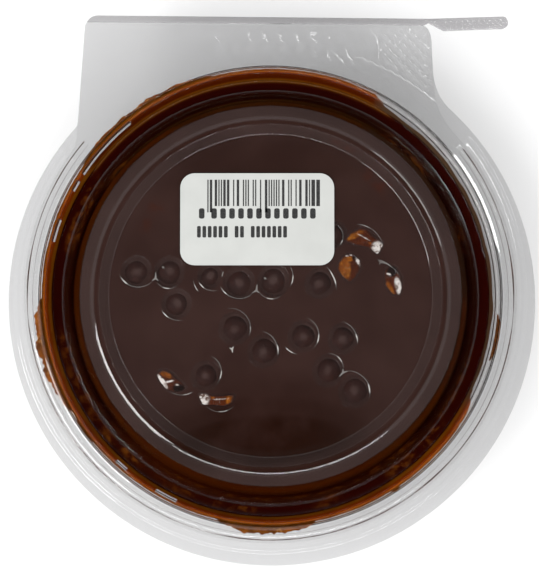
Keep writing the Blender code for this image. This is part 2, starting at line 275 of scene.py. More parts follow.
class Topping:
    """A ball or a nut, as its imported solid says, the lean of the air pocket round it, and a nut's outline."""

    def __init__(self, name, lean, outline=None):
        low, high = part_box(name)
        self.name = name
        self.place = (low.xy + high.xy) / 2
        self.size = (high - low) / 2
        self.top = high.z
        self.lean = radians(lean)
        self.reaches = outline_reaches(outline) if outline else None

    def inside(self, x, y, margin):
        """How far a point lies inside the pocket's lip."""
        away = Vector((x, y)) - self.place
        if self.reaches:
            k = round(len(self.reaches) * atan2(away.y, away.x) / (2 * pi)) % len(self.reaches)
            return self.reaches[k] + margin / 2 - away.length
        reach = self.size.xy + Vector((margin, margin))
        far = Vector((away.x / reach.x, away.y / reach.y)).length
        return (1 - far) * min(reach)


# The compass side on which each pocket's lip is sharp, in degrees.
BALL_LEANS = (222, 235, 215, 225, 235, 250, 50, 60, 45, 50, 55, 45, 40, 35, 50)
NUT_LEANS = (40, 50, 35, 60, 50)


def balls():
    return [Topping(f"ball_{k:02d}", lean) for k, lean in enumerate(BALL_LEANS, 1)]


def nuts():
    outlines = [look[0] for look in NUT_LOOKS]
    return [Topping(f"nut_{k:02d}", lean, outlines[k - 1]) for k, lean in enumerate(NUT_LEANS, 1)]


# ---------------------------------------------------------------- shapes

class Shape:
    """Vertices, faces and masks that are gathered before they become a mesh."""

    def __init__(self):
        self.verts = []
        self.faces = []
        self.masks = {}

    def point(self, *place):
        self.verts.append(Vector(place))
        return len(self.verts) - 1

    def ring(self, places):
        return [self.point(*place) for place in places]

    def mask(self, count=1, **values):
        """Gives the latest vertices their values in some masks."""
        for name, value in values.items():
            self.masks.setdefault(name, []).extend([value] * count)

    def bridge(self, here, after):
        """Joins two closed loops of as many vertices."""
        count = len(here)
        for k in range(count):
            beyond = (k + 1) % count
            self.faces.append((here[k], here[beyond], after[beyond], after[k]))

    def fan(self, ring, centre):
        for k, here in enumerate(ring):
            self.faces.append((here, ring[(k + 1) % len(ring)], centre))

    def loft(self, rings, first=None, last=None, capped=False):
        """Joins loops one after another, with a fan round a middle point, or a flat cap, at the ends."""
        for here, after in zip(rings, rings[1:]):
            self.bridge(here, after)
        for ring, centre in ((rings[0], first), (rings[-1], last)):
            if centre is not None:
                self.fan(ring, centre)
            elif capped:
                self.faces.append(ring)

    def skins(self, here, after, low, high):
        """Joins two columns of an inner and an outer skin between two rows, and closes the edges there."""
        for side in (0, 1):
            for j in range(low, high):
                self.faces.append((here[side][j], here[side][j + 1], after[side][j + 1], after[side][j]))
        for j in (low, high):
            self.faces.append((here[0][j], here[1][j], after[1][j], after[0][j]))

    def close(self, column, low, high):
        """Closes the gap between two skins along a column."""
        inner, outer = column
        for j in range(low, high):
            self.faces.append((inner[j], inner[j + 1], outer[j + 1], outer[j]))

    def fill(self, loops, loose=()):
        """Fills the space between two flat loops round the axis with triangles, through loose vertices."""
        used = [k for loop in loops for k in loop] + list(loose)
        edges, first = [], 0
        for loop in loops:
            edges += [(first + k, first + (k + 1) % len(loop)) for k in range(len(loop))]
            first += len(loop)
        flat = [self.verts[k].xy / MM for k in used]
        points, _, faces, origins, _, _ = geometry.delaunay_2d_cdt(flat, edges, [], 0, 1e-6)
        inner, outer = [[self.verts[k].xy / MM for k in loop] for loop in loops]
        for face in faces:
            middle = sum((points[k] for k in face), Vector((0, 0))) / len(face)
            if inside_loop(middle, outer) and not inside_loop(middle, inner):
                self.faces.append([used[origins[k][0]] for k in face])

    def place(self, name, finish, body, replaced=(), sharp=30):
        """Makes the mesh object, rides it on its body and hides what it stands for."""
        mesh = bpy.data.meshes.new(name)
        mesh.from_pydata([tuple(v) for v in self.verts], [], self.faces)
        bm = bmesh.new()
        bm.from_mesh(mesh)
        bmesh.ops.recalc_face_normals(bm, faces=bm.faces)
        bm.to_mesh(mesh)
        bm.free()
        mesh.shade_smooth()
        mesh.set_sharp_from_angle(angle=radians(sharp))
        mesh.materials.append(finish.material)
        for mask, values in self.masks.items():
            mesh.attributes.new(mask, "FLOAT", "POINT").data.foreach_set("value", values)
        made = add_object(bpy.context.scene, name, mesh)
        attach(made, body)
        if replaced:
            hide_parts(*replaced)


def inside_loop(point, loop):
    """True inside a closed loop that runs once round the axis from the +X side."""
    turn = atan2(point.y, point.x) % (2 * pi)
    k = bisect_right(SWEEP, turn) - 1
    here, after = loop[k], loop[(k + 1) % len(loop)]
    return (after - here).cross(point - here) > 0


def rounded(corners, steps=4):
    """A profile through (radius, height, rounding) corners."""
    path = []
    for k, (r, z, rounding) in enumerate(corners):
        here = Vector((r, z))
        if not rounding or k == len(corners) - 1:
            path.append(here)
            continue
        back = Vector(corners[k - 1][:2]) - here
        on = Vector(corners[k + 1][:2]) - here
        reach = rounding * tan((pi - back.angle(on)) / 2)
        for side, other in ((back, corners[k - 1][2]), (on, corners[k + 1][2])):
            reach = min(max(reach, 0.05 * MM), 0.94 * side.length * rounding / (rounding + other))
        start, end = here + back.normalized() * reach, here + on.normalized() * reach
        for t in (s / steps for s in range(steps + 1)):
            path.append((1 - t) ** 2 * start + 2 * t * (1 - t) * here + t * t * end)
    return path


def finer(profile, step):
    """The profile with no stretch longer than a step."""
    path = [profile[0]]
    for here, after in zip(profile, profile[1:]):
        count = max(round((after - here).length / step), 1)
        path += [here.lerp(after, k / count) for k in range(1, count + 1)]
    return path


def below(profile, distance):
    """The profile moved down its own normals by a distance, or by a distance that depends on the height."""
    moved = []
    for k, here in enumerate(profile):
        first = here - profile[k - 1] if k else Vector((1, 0))
        second = profile[k + 1] - here if k + 1 < len(profile) else Vector((1, 0))
        mean = (first.normalized() + second.normalized()).normalized()
        far = distance(here.y) if callable(distance) else distance
        moved.append(here + Vector((mean.y, -mean.x)) * far / max(mean.dot(first.normalized()), 0.6))
    return moved


def at_radius(profile, radius):
    """The profile's height at a radius."""
    for near, far in zip(profile, profile[1:]):
        if near.x <= radius <= far.x and far.x > near.x:
            return near.y + (far.y - near.y) * (radius - near.x) / (far.x - near.x)
    return profile[-1].y if radius > profile[-1].x else profile[0].y


def soft_min(a, b, width):
    near = max(width - abs(a - b), 0.0) / width
    return min(a, b) - near * near * width / 4


def soft_max(a, b, width):
    return -soft_min(-a, -b, width)


def smooth(low, high, value):
    """0 below low, 1 above high, and smooth between."""
    t = min(max((value - low) / (high - low), 0.0), 1.0)
    return t * t * (3 - 2 * t)


def wave(x, y=0.0, z=0.0):
    """Smooth noise from -1 to 1."""
    return noise.noise(Vector((x, y, z)))


def tab_reach(angle):
    """How far the tab's outline is from the axis."""
    tub = settings().tub
    away = Vector((cos(angle), sin(angle)))
    if away.y < 0.3:
        return 0.0
    back = tub.tab_back / away.y
    side = tub.tab_right if away.x > 0 else tub.tab_left
    lean = tub.tab_flare if away.x > 0 else -tub.tab_flare
    across = away.x + lean * away.y
    if abs(across) < 0.3:
        return back
    corner = tub.tab_corner if away.x > 0 else tub.left_corner
    return soft_min(back, (side + lean * tub.tab_back) / across, corner)


def outline_reach(angle, radius, shift):
    """How far a flange reaches: a circle that runs into the tab."""
    tub = settings().tub
    away = Vector((cos(angle), sin(angle)))
    along = away.dot(shift)
    circle = along + sqrt(along**2 - shift.length_squared + radius**2)
    return soft_max(circle, tab_reach(angle), tub.right_fillet if away.x > 0 else tub.left_fillet)


def bowl_reach(angle):
    tub = settings().tub
    return outline_reach(angle, tub.flange_radius, Vector((tub.flange_x, tub.flange_y)))


def lid_reach(angle):
    return outline_reach(angle, settings().lid.radius, Vector((0, 0)))


def rib_share(angle):
    """1 where the guard rib stands at full height, fading to 0 towards the tab."""
    tub = settings().tub
    turned = (angle + pi / 2) % (2 * pi) - pi / 2
    into_tab = min(turned - tub.rib_start, tub.rib_end - turned)
    return smooth(0, 1, -into_tab / tub.rib_fade)


def turns(count):
    return [2 * pi * k / count for k in range(count)]


def sweep():
    """Turns round the tub, closest where the rim runs into the tab and at the tab's corners."""
    close = ((36, 47), (56, 63), (121, 128), (138, 149))
    quarters = [k for k in range(4 * 360) if k % 4 == 0 or any(low <= k / 4 <= high for low, high in close)]
    return [radians(k / 4) for k in quarters]


SWEEP = sweep()


def round_place(radius, angle, height):
    return radius * cos(angle), radius * sin(angle), height


# ---------------------------------------------------------------- finishes

class Nodes:
    """A node tree that is being put together."""

    def __init__(self, tree):
        self.tree = tree

    def plug(self, socket, value):
        """Fills a socket with another node's output, a colour or a number."""
        if isinstance(value, bpy.types.NodeSocket):
            self.tree.links.new(value, socket)
        elif socket.type == "RGBA":
            socket.default_value = (*value, 1.0)
        else:
            socket.default_value = value

    def node(self, kind, inputs=(), **values):
        made = self.tree.nodes.new("ShaderNode" + kind)
        for name, value in values.items():
            setattr(made, name, value)
        for key, value in dict(inputs).items():
            self.plug(made.inputs[key], value)
        return made

    def lean(self, source):
        """How far a place or a direction is from the Z axis."""
        flat = self.node("VectorMath", {0: source, 1: (1, 1, 0)}, operation="MULTIPLY")
        return self.node("VectorMath", {0: flat.outputs["Vector"]}, operation="LENGTH").outputs["Value"]

    def ramp(self, source, stops, interpolation="LINEAR"):
        """A colour ramp through (place, colour) stops."""
        made = self.node("ValToRGB", {"Fac": source})
        made.color_ramp.interpolation = interpolation
        elements = made.color_ramp.elements
        while len(elements) < len(stops):
            elements.new(0.5)
        for element, (place, colour) in zip(elements, stops):
            element.position = place
            element.color = (*colour, 1.0)
        return made.outputs["Color"]


class Finish(Nodes):
    """A node material that is being put together, and the name of the slot that it belongs to."""

    def __init__(self, name, slot, colour, roughness=0.5, specular=0.5):
        self.slot = slot
        self.material = bpy.data.materials.new(name)
        self.material.use_nodes = True
        self.material.diffuse_color = (*colour, 1.0)
        super().__init__(self.material.node_tree)
        self.shader = self.tree.nodes["Principled BSDF"]
        self.set("Base Color", colour)
        self.set("Roughness", roughness)
        self.set("Specular IOR Level", specular)
        self.coordinates = self.node("TexCoord").outputs["Object"]

    def set(self, socket, value):
        self.plug(self.shader.inputs[socket], value)

    def noise(self, scale, detail=3.0, roughness=0.5, distortion=0.0):
        return self.node("TexNoise", {
            "Vector": self.coordinates, "Scale": scale, "Detail": detail,
            "Roughness": roughness, "Distortion": distortion,
        }).outputs["Fac"]

    def attribute(self, name):
        return self.node("Attribute", attribute_name=name).outputs["Fac"]

    def spread(self, source, low, high, new_low=0.0, new_high=1.0):
        return self.node("MapRange", {
            "Value": source, "From Min": low, "From Max": high, "To Min": new_low, "To Max": new_high,
        }).outputs["Result"]

    def mix(self, factor, first, second):
        return self.node("Mix", {"Factor": factor, 6: first, 7: second}, data_type="RGBA").outputs[2]

    def patchy(self, first, second, grain, low=0.35, high=0.65, most=1.0):
        """Two colours in patches; the grain is the size and detail of the noise between them."""
        return self.mix(self.spread(self.noise(*grain), low, high, 0.0, most), first, second)

    def maths(self, operation, first, second):
        return self.node("Math", {0: first, 1: second}, operation=operation).outputs[0]

    def bump(self, scale, depth, strength):
        """Fine relief, with its depth in mm."""
        relief = {"Height": self.noise(scale), "Distance": depth * MM, "Strength": strength}
        self.set("Normal", self.node("Bump", relief).outputs["Normal"])

    def let_light_through(self, colour):
        """Lamps and bounced light pass straight through the sheet, with its tint."""
        path = self.node("LightPath")
        clear = self.node("BsdfTransparent", {"Color": colour})
        last = self.shader.outputs[0]
        for ray in ("Is Diffuse Ray", "Is Shadow Ray"):
            mixed = self.node("MixShader", {"Fac": path.outputs[ray], 1: last, 2: clear.outputs[0]})
            last = mixed.outputs[0]
        self.plug(self.tree.nodes["Material Output"].inputs["Surface"], last)


def clear_plastic(name, colour):
    made = Finish(name, "clear_plastic", colour)
    made.set("Roughness", made.spread(made.noise(60, 2.0), 0.3, 0.7, 0.02, 0.035))
    made.set("Transmission Weight", 1.0)
    made.set("IOR", 1.5)
    made.let_light_through(colour)
    return made


def mousse_finish():
    tones = settings().finish
    made = Finish("mousse_skin", "mousse", tones.mousse_dark, specular=0.03)
    patches = made.patchy(tones.mousse_dark, tones.mousse_light, (70, 4.0))
    speckled = made.patchy(patches, (0.036, 0.013, 0.010), (300, 3.0), 0.66, 0.80, 0.7)
    stain = made.attribute("stain")
    # Painted shade: the panel darker and redder at the front and back, where less reflection lies over it.
    darker = made.maths("MULTIPLY", stain, made.spread(made.noise(60, 4.0), 0.2, 0.5))
    panel = made.mix(darker, speckled, (0.0110, 0.0030, 0.0012))
    # Painted light and shade across the channel: the deep red of thick mousse, a near-black band where the
    # steep inner wall reflects only dark, and a lighter band where the channel's floor reflects the room.
    from_axis = made.spread(made.lean(made.coordinates), 51 * MM, 60 * MM)
    channel = made.ramp(from_axis, (
        (0.00, (0.015, 0.0040, 0.0020)), (0.20, (0.010, 0.0020, 0.0007)), (0.27, (0.005, 0.0006, 0.0002)),
        (0.40, (0.009, 0.0010, 0.0003)), (0.46, (0.018, 0.0045, 0.0018)), (0.56, (0.018, 0.0035, 0.0012)),
        (0.61, (0.015, 0.0008, 0.0001)), (0.93, (0.017, 0.0008, 0.0001)),
    ))
    browned = made.mix(made.spread(stain, 0.0, 0.5), channel, (0.030, 0.0045, 0.0004))
    # The strongest patches are a bright orange line, painted glow of light shining through the thin mousse.
    rim = made.mix(made.spread(stain, 0.5, 1.0), browned, (0.115, 0.040, 0.006))
    broken = made.spread(made.noise(330, 5.0, 0.65, 0.5), 0.44, 0.58)
    smeared = made.maths("MULTIPLY", made.attribute("smear"), broken)
    amber = made.patchy((0.035, 0.0045, 0.0003), tones.smear, (500, 3.0))
    reddish = made.mix(smeared, panel, (0.045, 0.009, 0.003))
    made.set("Base Color", made.mix(made.attribute("channel"), reddish, made.mix(smeared, rim, amber)))
    made.set("Roughness", made.mix(made.attribute("pocket"), (0.08, 0.08, 0.08), (0.20, 0.20, 0.20)))
    return made


def film_finish():
    """Thin mousse: darkest at its foot, with amber lines that follow the wall; its bright tones are partly
    painted glow of light shining through the thin mousse.
    """
    tones = settings().finish
    low, high, red = tones.film_foot, tones.film_top_and_glow, (0.20, 0.029, 0.0005)
    made = Finish("mousse_film", "mousse", high, 0.35, 0.03)
    shaken = made.spread(made.noise(220, 4.0), 0.3, 0.7, -0.05, 0.05)
    rings = made.ramp(made.maths("ADD", made.attribute("height"), shaken), (
        (0.04, low), (0.14, high), (0.34, high), (0.42, red), (0.66, red), (0.74, high), (0.80, red),
        (0.92, high),
    ))
    lined = made.mix(made.attribute("amber"), rings, (0.24, 0.080, 0.006))
    browned = made.mix(made.attribute("brown"), lined, (0.085, 0.0105, 0.0003))
    blotched = made.patchy(browned, (0.11, 0.014, 0.0005), (140, 4.0), 0.45, 0.7, 0.5)
    cleaner = made.mix(made.attribute("clean"), blotched, (0.10, 0.055, 0.03))
    # The outer skin keeps a plainer, darker tone, without the inner skin's painted glow.
    made.set("Base Color", made.mix(made.attribute("outside"), cleaner, (0.08, 0.020, 0.002)))
    made.bump(700, 0.04, 0.6)
    return made


def leak_finish():
    tone = settings().finish.leak
    made = Finish("mousse_leak", "mousse", tone, 0.4, 0.05)
    mottled = made.patchy(tuple(0.35 * c for c in tone), tone, (320, 4.0))
    foam = (0.36, 0.17, 0.05)
    made.set("Base Color", made.patchy(mottled, foam, (620, 3.0, 0.6, 1.5), 0.60, 0.68))
    made.bump(900, 0.03, 0.5)
    return made


def residue_finish():
    tone = settings().finish.residue
    made = Finish("mousse_residue", "mousse", tone, 0.5, 0.05)
    made.set("Base Color", made.patchy(tone, tuple(2.2 * c for c in tone), (240, 4.0), 0.4, 0.7))
    return made


def lip_highlight_finish():
    """Painted highlight along the lip of a pocket: pale where it catches the light, and nearly the mousse's
    tone at its ends.
    """
    tone, faint = settings().finish.lip, (0.036, 0.026, 0.023)
    made = Finish("pocket_lip", "mousse", tone, 0.25)
    made.set("Base Color", made.mix(made.attribute("shine"), faint, tone))
    return made


def chocolate_finish():
    """Darkest at a ball's steep sides, painted shade, and palest on top where it touches the lid, partly a
    contact patch and partly a painted soft highlight.
    """
    tone = settings().finish.chocolate
    made = Finish("chocolate_coating", "chocolate", tone, specular=0.03)
    coated = made.patchy(tone, tuple(c * k for c, k in zip(tone, (1.3, 1.1, 0.9))), (300, 3.0), 0.4, 0.7)
    shaken = made.spread(made.noise(380, 4.0), 0.3, 0.7, -0.13, 0.13)
    ragged = made.maths("ADD", made.attribute("spread"), shaken)
    # Painted shade towards the ball's steep sides.
    edge = made.mix(made.spread(ragged, 0.60, 0.95), coated, (0.0105, 0.0027, 0.0013))
    # Painted soft highlight on top, where the ball touches the lid.
    made.set("Base Color", made.mix(made.spread(ragged, 0.42, 0.10), edge, (0.043, 0.0240, 0.0210)))
    made.bump(420, 0.05, 0.4)
    return made


def caramel_finish():
    tones = settings().finish
    made = Finish("caramel_coating", "caramelled_nut", tones.caramel, 0.15, 0.1)
    body = made.patchy(tones.caramel_dark, (0.065, 0.012, 0.0015), (260, 4.0, 0.6, 0.6))
    # Bright caramel in spots, partly the thin caramel's own tone and partly painted glow of light shining
    # through it.
    broken = made.spread(made.noise(420, 4.0, 0.6, 0.8), 0.30, 0.62)
    glow = made.maths("MULTIPLY", made.attribute("glow"), broken)
    bright = made.patchy(tones.caramel, (0.36, 0.125, 0.010), (640, 3.0, 0.6, 0.8), 0.45, 0.70)
    lit = made.mix(made.attribute("edge"), made.mix(glow, body, bright), (0.022, 0.0080, 0.0060))
    # Dark spots painted as shade in the kernel's hollows; the shape is not dented there.
    deep = made.mix(made.attribute("hollow"), lit, (0.008, 0.003, 0.002))
    # Crazed sugar, partly painted glare.
    crazed = made.patchy((0.10, 0.06, 0.045), tones.sugar, (520, 4.0, 0.6, 1.0), 0.40, 0.52)
    made.set("Base Color", made.mix(made.attribute("sugar"), deep, crazed))
    made.set("Coat Weight", 0.15)
    made.set("Coat Roughness", 0.1)
    made.bump(600, 0.06, 0.5)
    return made


def paper_finish():
    tone = settings().finish.paper
    made = Finish("label_paper", "paper", tone, 0.55)
    made.set("Base Color", made.patchy(tone, tuple(0.94 * c for c in tone), (140, 5.0), 0.35, 0.7))
    made.bump(3000, 0.01, 0.5)
    return made


def ink_finish():
    tone = settings().finish.ink
    made = Finish("label_ink", "paper", tone)
    made.set("Base Color", made.patchy(tone, tuple(c + 0.03 for c in tone), (2600, 2.0), 0.45, 0.75))
    return made


# ---------------------------------------------------------------- profiles

def bowl_wall():
    """The inside of the bowl from the foot to the seat: (radius, height, rounding) corners."""
    tub = settings().tub
    sharp = tub.seat_radius - (tub.seat_height - tub.wall) * tan(tub.draft)
    return [
        (0, tub.wall, 0),
        (sharp, tub.wall, tub.corner),
        (tub.seat_radius, tub.seat_height, 1.2 * MM),
    ]


def bowl_profile(angle=0.0):
    """The bowl's inside, its rim and the guard rib, which both end at the tab, and its flange."""
    tub = settings().tub
    share = rib_share(angle)
    rib = tub.flange + tub.rib_rise * share
    rim = tub.flange + (tub.rim - tub.flange) * share
    return rounded([
        *bowl_wall(),
        (tub.mouth, tub.flange + 0.2 * MM * share, 0.6 * MM),
        (tub.rim_inner, rim, 0.6 * MM),
        (tub.rim_outer, rim, 0.6 * MM),
        (tub.rim_foot, tub.flange, 0.8 * MM),
        (tub.rib_inner, tub.flange, 0.8 * MM),
        (tub.rib_inner + tub.rib_slope, rib, 0.8 * MM),
        (tub.rib_outer - tub.rib_slope, rib, 0.8 * MM),
        (tub.rib_outer, tub.flange, 0.8 * MM),
        (tub.rib_outer + 0.4 * MM, tub.flange, 0),
    ], 5)


def lid_profile(angle=0.0):
    """The top of the lid, up to its flange; its bead ends at the tab."""
    tub, lid = settings().tub, settings().lid
    edge = tub.flange + tub.gap + tub.wall
    bead = edge + (tub.rim - tub.flange) * rib_share(angle)
    return rounded([
        (0, lid.panel, 0),
        (lid.panel_radius - 3 * MM, lid.panel, 0),
        (lid.panel_radius, lid.panel, 1.2 * MM),
        (lid.ring_inner, lid.ring, 0.6 * MM),
        (lid.ring_shoulder, lid.ring, 5.6 * MM),
        (lid.ring_outer, lid.panel, 0.6 * MM),
        (lid.channel_inner, lid.channel, 0.5 * MM),
        (lid.channel_inner + 0.7 * MM, lid.channel + 0.25 * MM, 0.6 * MM),
        (lid.channel_outer, lid.channel + 0.70 * MM, 0.2 * MM),
        (lid.ledge, edge - lid.ledge_drop, 0.3 * MM),
        (lid.ledge + lid.ledge_width, edge - lid.ledge_drop + 0.1 * MM, 0.3 * MM),
        (lid.plug_top, edge, 0.5 * MM),
        (lid.bead_inner, bead, 0.6 * MM),
        (lid.bead_outer, bead, 0.6 * MM),
        (lid.bead_foot, edge, 0.6 * MM),
        (lid.bead_foot + 0.35 * MM, edge, 0),
    ], 5)


def bowl_sheet(height):
    """Thickness of the bowl's sheet, which is stretched thin towards the rim."""
    tub = settings().tub
    return tub.wall + (tub.sheet - tub.wall) * smooth(tub.seat_height - 8 * MM, tub.seat_height, height)


# ---------------------------------------------------------------- clear pieces

def profile_rings(shape, profiles):
    """Loops round the axis through all but the first places of the profiles."""
    return [shape.ring(round_place(p[k].x, a, p[k].y) for p, a in zip(profiles, SWEEP))
            for k in range(1, len(profiles[0]))]


def bowl_shape():
    """The clear bowl with its rim, guard rib, flange and tab."""
    tub = settings().tub
    shape = Shape()
    tops = [finer(bowl_profile(a), 9 * MM) for a in SWEEP]
    lows = [below(top, bowl_sheet) for top in tops]
    edges = []
    for profiles, height in ((tops, tub.flange), (lows, tub.flange - tub.sheet)):
        rings = profile_rings(shape, profiles)
        middle = shape.point(0, 0, profiles[0][0].y)
        rings.append(shape.ring(round_place(bowl_reach(a), a, height) for a in SWEEP))
        shape.loft(rings, middle)
        edges.append(rings[-1])
    shape.bridge(*edges)
    return shape


def stroke(points, half, rise):
    """Places and rises along a pressed ridge that follows a line of points."""
    made = []
    for k, here in enumerate(points):
        along = (points[min(k + 1, len(points) - 1)] - points[max(k - 1, 0)]).normalized()
        across = Vector((-along.y, along.x)) * half
        made += [(here, rise), (here + across, 0.0), (here - across, 0.0)]
    return made


def line(start, end, step):
    count = max(round((end - start).length / step), 1)
    return [start.lerp(end, k / count) for k in range(count + 1)]


# How far the middle of the bare slot for the arrows is from the tab's back, its half width and its ends.
SLOT_IN, SLOT_HALF, SLOT_LEFT, SLOT_RIGHT = 5.3 * MM, 4.2 * MM, -24 * MM, 28.5 * MM
# How many arrows there are, where the first one points and how far they are apart.
ARROWS, FIRST_ARROW, ARROW_PITCH = 9, -14.5 * MM, 4.4 * MM


def arrows():
    """Pressed arrows along the tab that point to the pull, as (line, rise) strokes."""
    emboss, tub = settings().emboss, settings().tub
    middle = tub.tab_back - SLOT_IN
    step = 0.35 * MM
    made = []
    for k in range(ARROWS):
        tip = Vector((FIRST_ARROW + ARROW_PITCH * k, middle + 1.2 * MM * wave(2.7 * k)))
        back = Vector((-emboss.arrow, emboss.arrow))
        arm = line(tip + back, tip, step) + line(tip, tip + Vector((back.x, -back.y)), step)[1:]
        made.append((arm, (0.5 + 0.4 * wave(1.9 * k)) * emboss.rise))
    return made


def tab_points():
    """Places and rises of what is pressed into the lid's tab: arrows in a bare slot, strokes and hatching."""
    emboss = settings().emboss
    made = []
    for points, rise in arrows():
        made += stroke(points, emboss.width, rise)
    end = Vector((SLOT_RIGHT - SLOT_HALF, settings().tub.tab_back - SLOT_IN))
    bow = [end + SLOT_HALF * Vector((cos(t), sin(t))) for t in (radians(5 + 6 * k) for k in range(9))]
    made += stroke(bow, emboss.width, 1.2 * emboss.rise)
    row = [Vector((9.6 * MM + 2.85 * MM * k, 64.9 * MM)) for k in range(5)]
    row += [emboss.inner * Vector((cos(t), sin(t))) for t in (radians(50 + 2.35 * k) for k in range(9))]
    for k, middle in enumerate(row):
        slanted = emboss.stroke * (0.9 + 0.5 * wave(5.3 * k)) * Vector((1, -1))
        made += stroke([middle - slanted, middle, middle + slanted], emboss.width, 1.3 * emboss.rise)
    return made + hatching()


def hatching():
    """The tab's hatching, which stays clear of the border, of the row of strokes and of the arrows' slot."""
    emboss, tub = settings().emboss, settings().tub
    slot_middle = tub.tab_back - SLOT_IN
    made = []
    for p, rise in hatch(emboss.pitch, emboss.width, emboss.rise, 80 * MM):
        p = p + Vector((-4 * MM, 70 * MM))
        room = min(lid_reach(atan2(p.y, p.x)) - p.length - emboss.border, tub.tab_back - p.y - 1.0 * MM)
        ends = min(max(p.x, SLOT_LEFT + SLOT_HALF), SLOT_RIGHT - SLOT_HALF)
        bare = (p - Vector((ends, slot_middle))).length < SLOT_HALF + 0.5 * MM
        if p.length - emboss.inner > 2 * emboss.stroke and room > 0 and not bare:
            weak = 0.05 + 0.5 * smooth(23 * MM, 28 * MM, p.x)
            made.append((p, rise * weak))
    return made


def hatch(pitch, half, rise, reach):
    """Crossed diagonal ridges about the origin, as the places and rises where their lines and feet cross."""
    count = floor(reach / pitch)
    lines = range(-count, count + 1)
    rows = [(k * pitch + side * half, rise * (side == 0)) for k in lines for side in (-1, 0, 1)]
    turned = Matrix.Rotation(pi / 4, 2)
    for u, rise_u in rows:
        for v, rise_v in rows:
            p = turned @ Vector((u, v))
            if abs(p.x) < reach and abs(p.y) < reach / 3:
                yield p, max(rise_u, rise_v)


def lid_shape():
    """The clear lid with its pressed tab."""
    tub = settings().tub
    shape = Shape()
    tops = [lid_profile(a) for a in SWEEP]
    edge = tub.flange + tub.gap + tub.wall
    edges = []
    for down in (0.0, tub.sheet):
        profiles = [below(top, down) if down else top for top in tops]
        rings = profile_rings(shape, profiles)
        shape.loft(rings, shape.point(0, 0, profiles[0][0].y))
        outer = shape.ring(round_place(lid_reach(a), a, edge - down) for a in SWEEP)
        loose = () if down else [shape.point(p.x, p.y, edge + rise) for p, rise in tab_points()]
        shape.fill([rings[-1], outer], loose)
        edges.append(outer)
    shape.bridge(*edges)
    return shape


# Half the width of the strip's neck, and the pitch, half width, rise and border of the ridges on its pull.
NECK_HALF = 0.6 * MM
RIDGE_PITCH, RIDGE_HALF, RIDGE_RISE, RIDGE_BORDER = 1.5, 0.3, 0.24 * MM, 0.35 * MM


def strip_rows(neck):
    """Places along the strip and its half widths there, from its rounded left end to the tip of the pull."""
    strip = settings().strip
    start, half = strip.left + strip.corner, strip.pull_width / 2
    rows = []
    for t in (pi / 2 * k / 10 for k in range(3, 11)):
        wide = strip.radius - strip.corner * (1 - sin(t)) / 2
        rows.append((strip.left + strip.corner * (1 - cos(t)), max(wide, 0.1 * MM)))
    rows += [(start + (strip.right - start) * k / 30, strip.radius) for k in range(1, 31)]
    span = strip.pull_start - neck
    rows += [(neck + span * t, NECK_HALF + (half - NECK_HALF) * t) for t in (0.0, 0.2, 0.4, 0.6, 0.8, 1.0)]
    flat = strip.pull_end - half - strip.pull_start
    rows += [(strip.pull_start + flat * k / 40, half) for k in range(1, 40)]
    rows += [(strip.pull_end - half + half * sin(t), max(half * cos(t), 0.05 * MM))
             for t in (pi / 2 * k / 8 for k in range(9))]
    return rows


def strip_shape():
    """The folded strip, a flat band that narrows to a neck and widens into the hatched pull."""
    strip, tub = settings().strip, settings().tub
    middle = tub.flange + tub.gap / 2
    edge, thin, neck = strip.hinge_y + strip.radius, strip.pull_thick / 2, strip.right + 1.2 * MM
    half = strip.pull_width / 2
    shape = Shape()
    rings = []
    for x, wide in strip_rows(neck):
        past = max(x - neck, 0.0)
        tip = max(x - (strip.pull_end - half), 0.0) / half
        centre = edge + tan(strip.pull_bend) * past - wide - (half - wide) * 1.1 * smooth(0, 1, tip)
        if x < strip.left + strip.corner:
            centre = strip.hinge_y - strip.radius + wide
        ring = []
        for a in turns(40):
            up = abs(sin(a)) ** 0.4 * (1 if sin(a) >= 0 else -1)
            across = wide * cos(a)
            pressed = 0.0
            if past and abs(across) < wide - RIDGE_BORDER and sin(a) > 0.2:
                away = min(abs((x + side * across) / MM % RIDGE_PITCH - RIDGE_PITCH / 2) for side in (-1, 1))
                pressed = RIDGE_RISE * max(1 - away / RIDGE_HALF, 0.0)
            ring.append((x, centre + across, middle + thin * up + pressed))
        rings.append(shape.ring(ring))
    shape.loft(rings, capped=True)
    return shape


# ---------------------------------------------------------------- mousse

def lid_contact():
    """Where the mousse meets the lid: just inside the underside of its sheet."""
    return finer(below(lid_profile(), settings().tub.sheet - settings().mousse.bite), 0.5 * MM)


def pocket_depth(x, y, pressed):
    """How far the mousse falls away from the lid at a point."""
    mousse = settings().mousse
    nearest, lean = 0.0, 0.0
    for topping in pressed:
        into = topping.inside(x, y, mousse.pocket)
        if into > nearest:
            nearest = into
            away = atan2(y - topping.place.y, x - topping.place.x)
            lean = (1 + cos(away - topping.lean)) / 2
    if nearest <= 0:
        return 0.0
    lip = mousse.soft + (mousse.sharp - mousse.soft) * smooth(0.35, 0.9, lean)
    return mousse.depth * nearest**2 / (nearest**2 + lip**2)


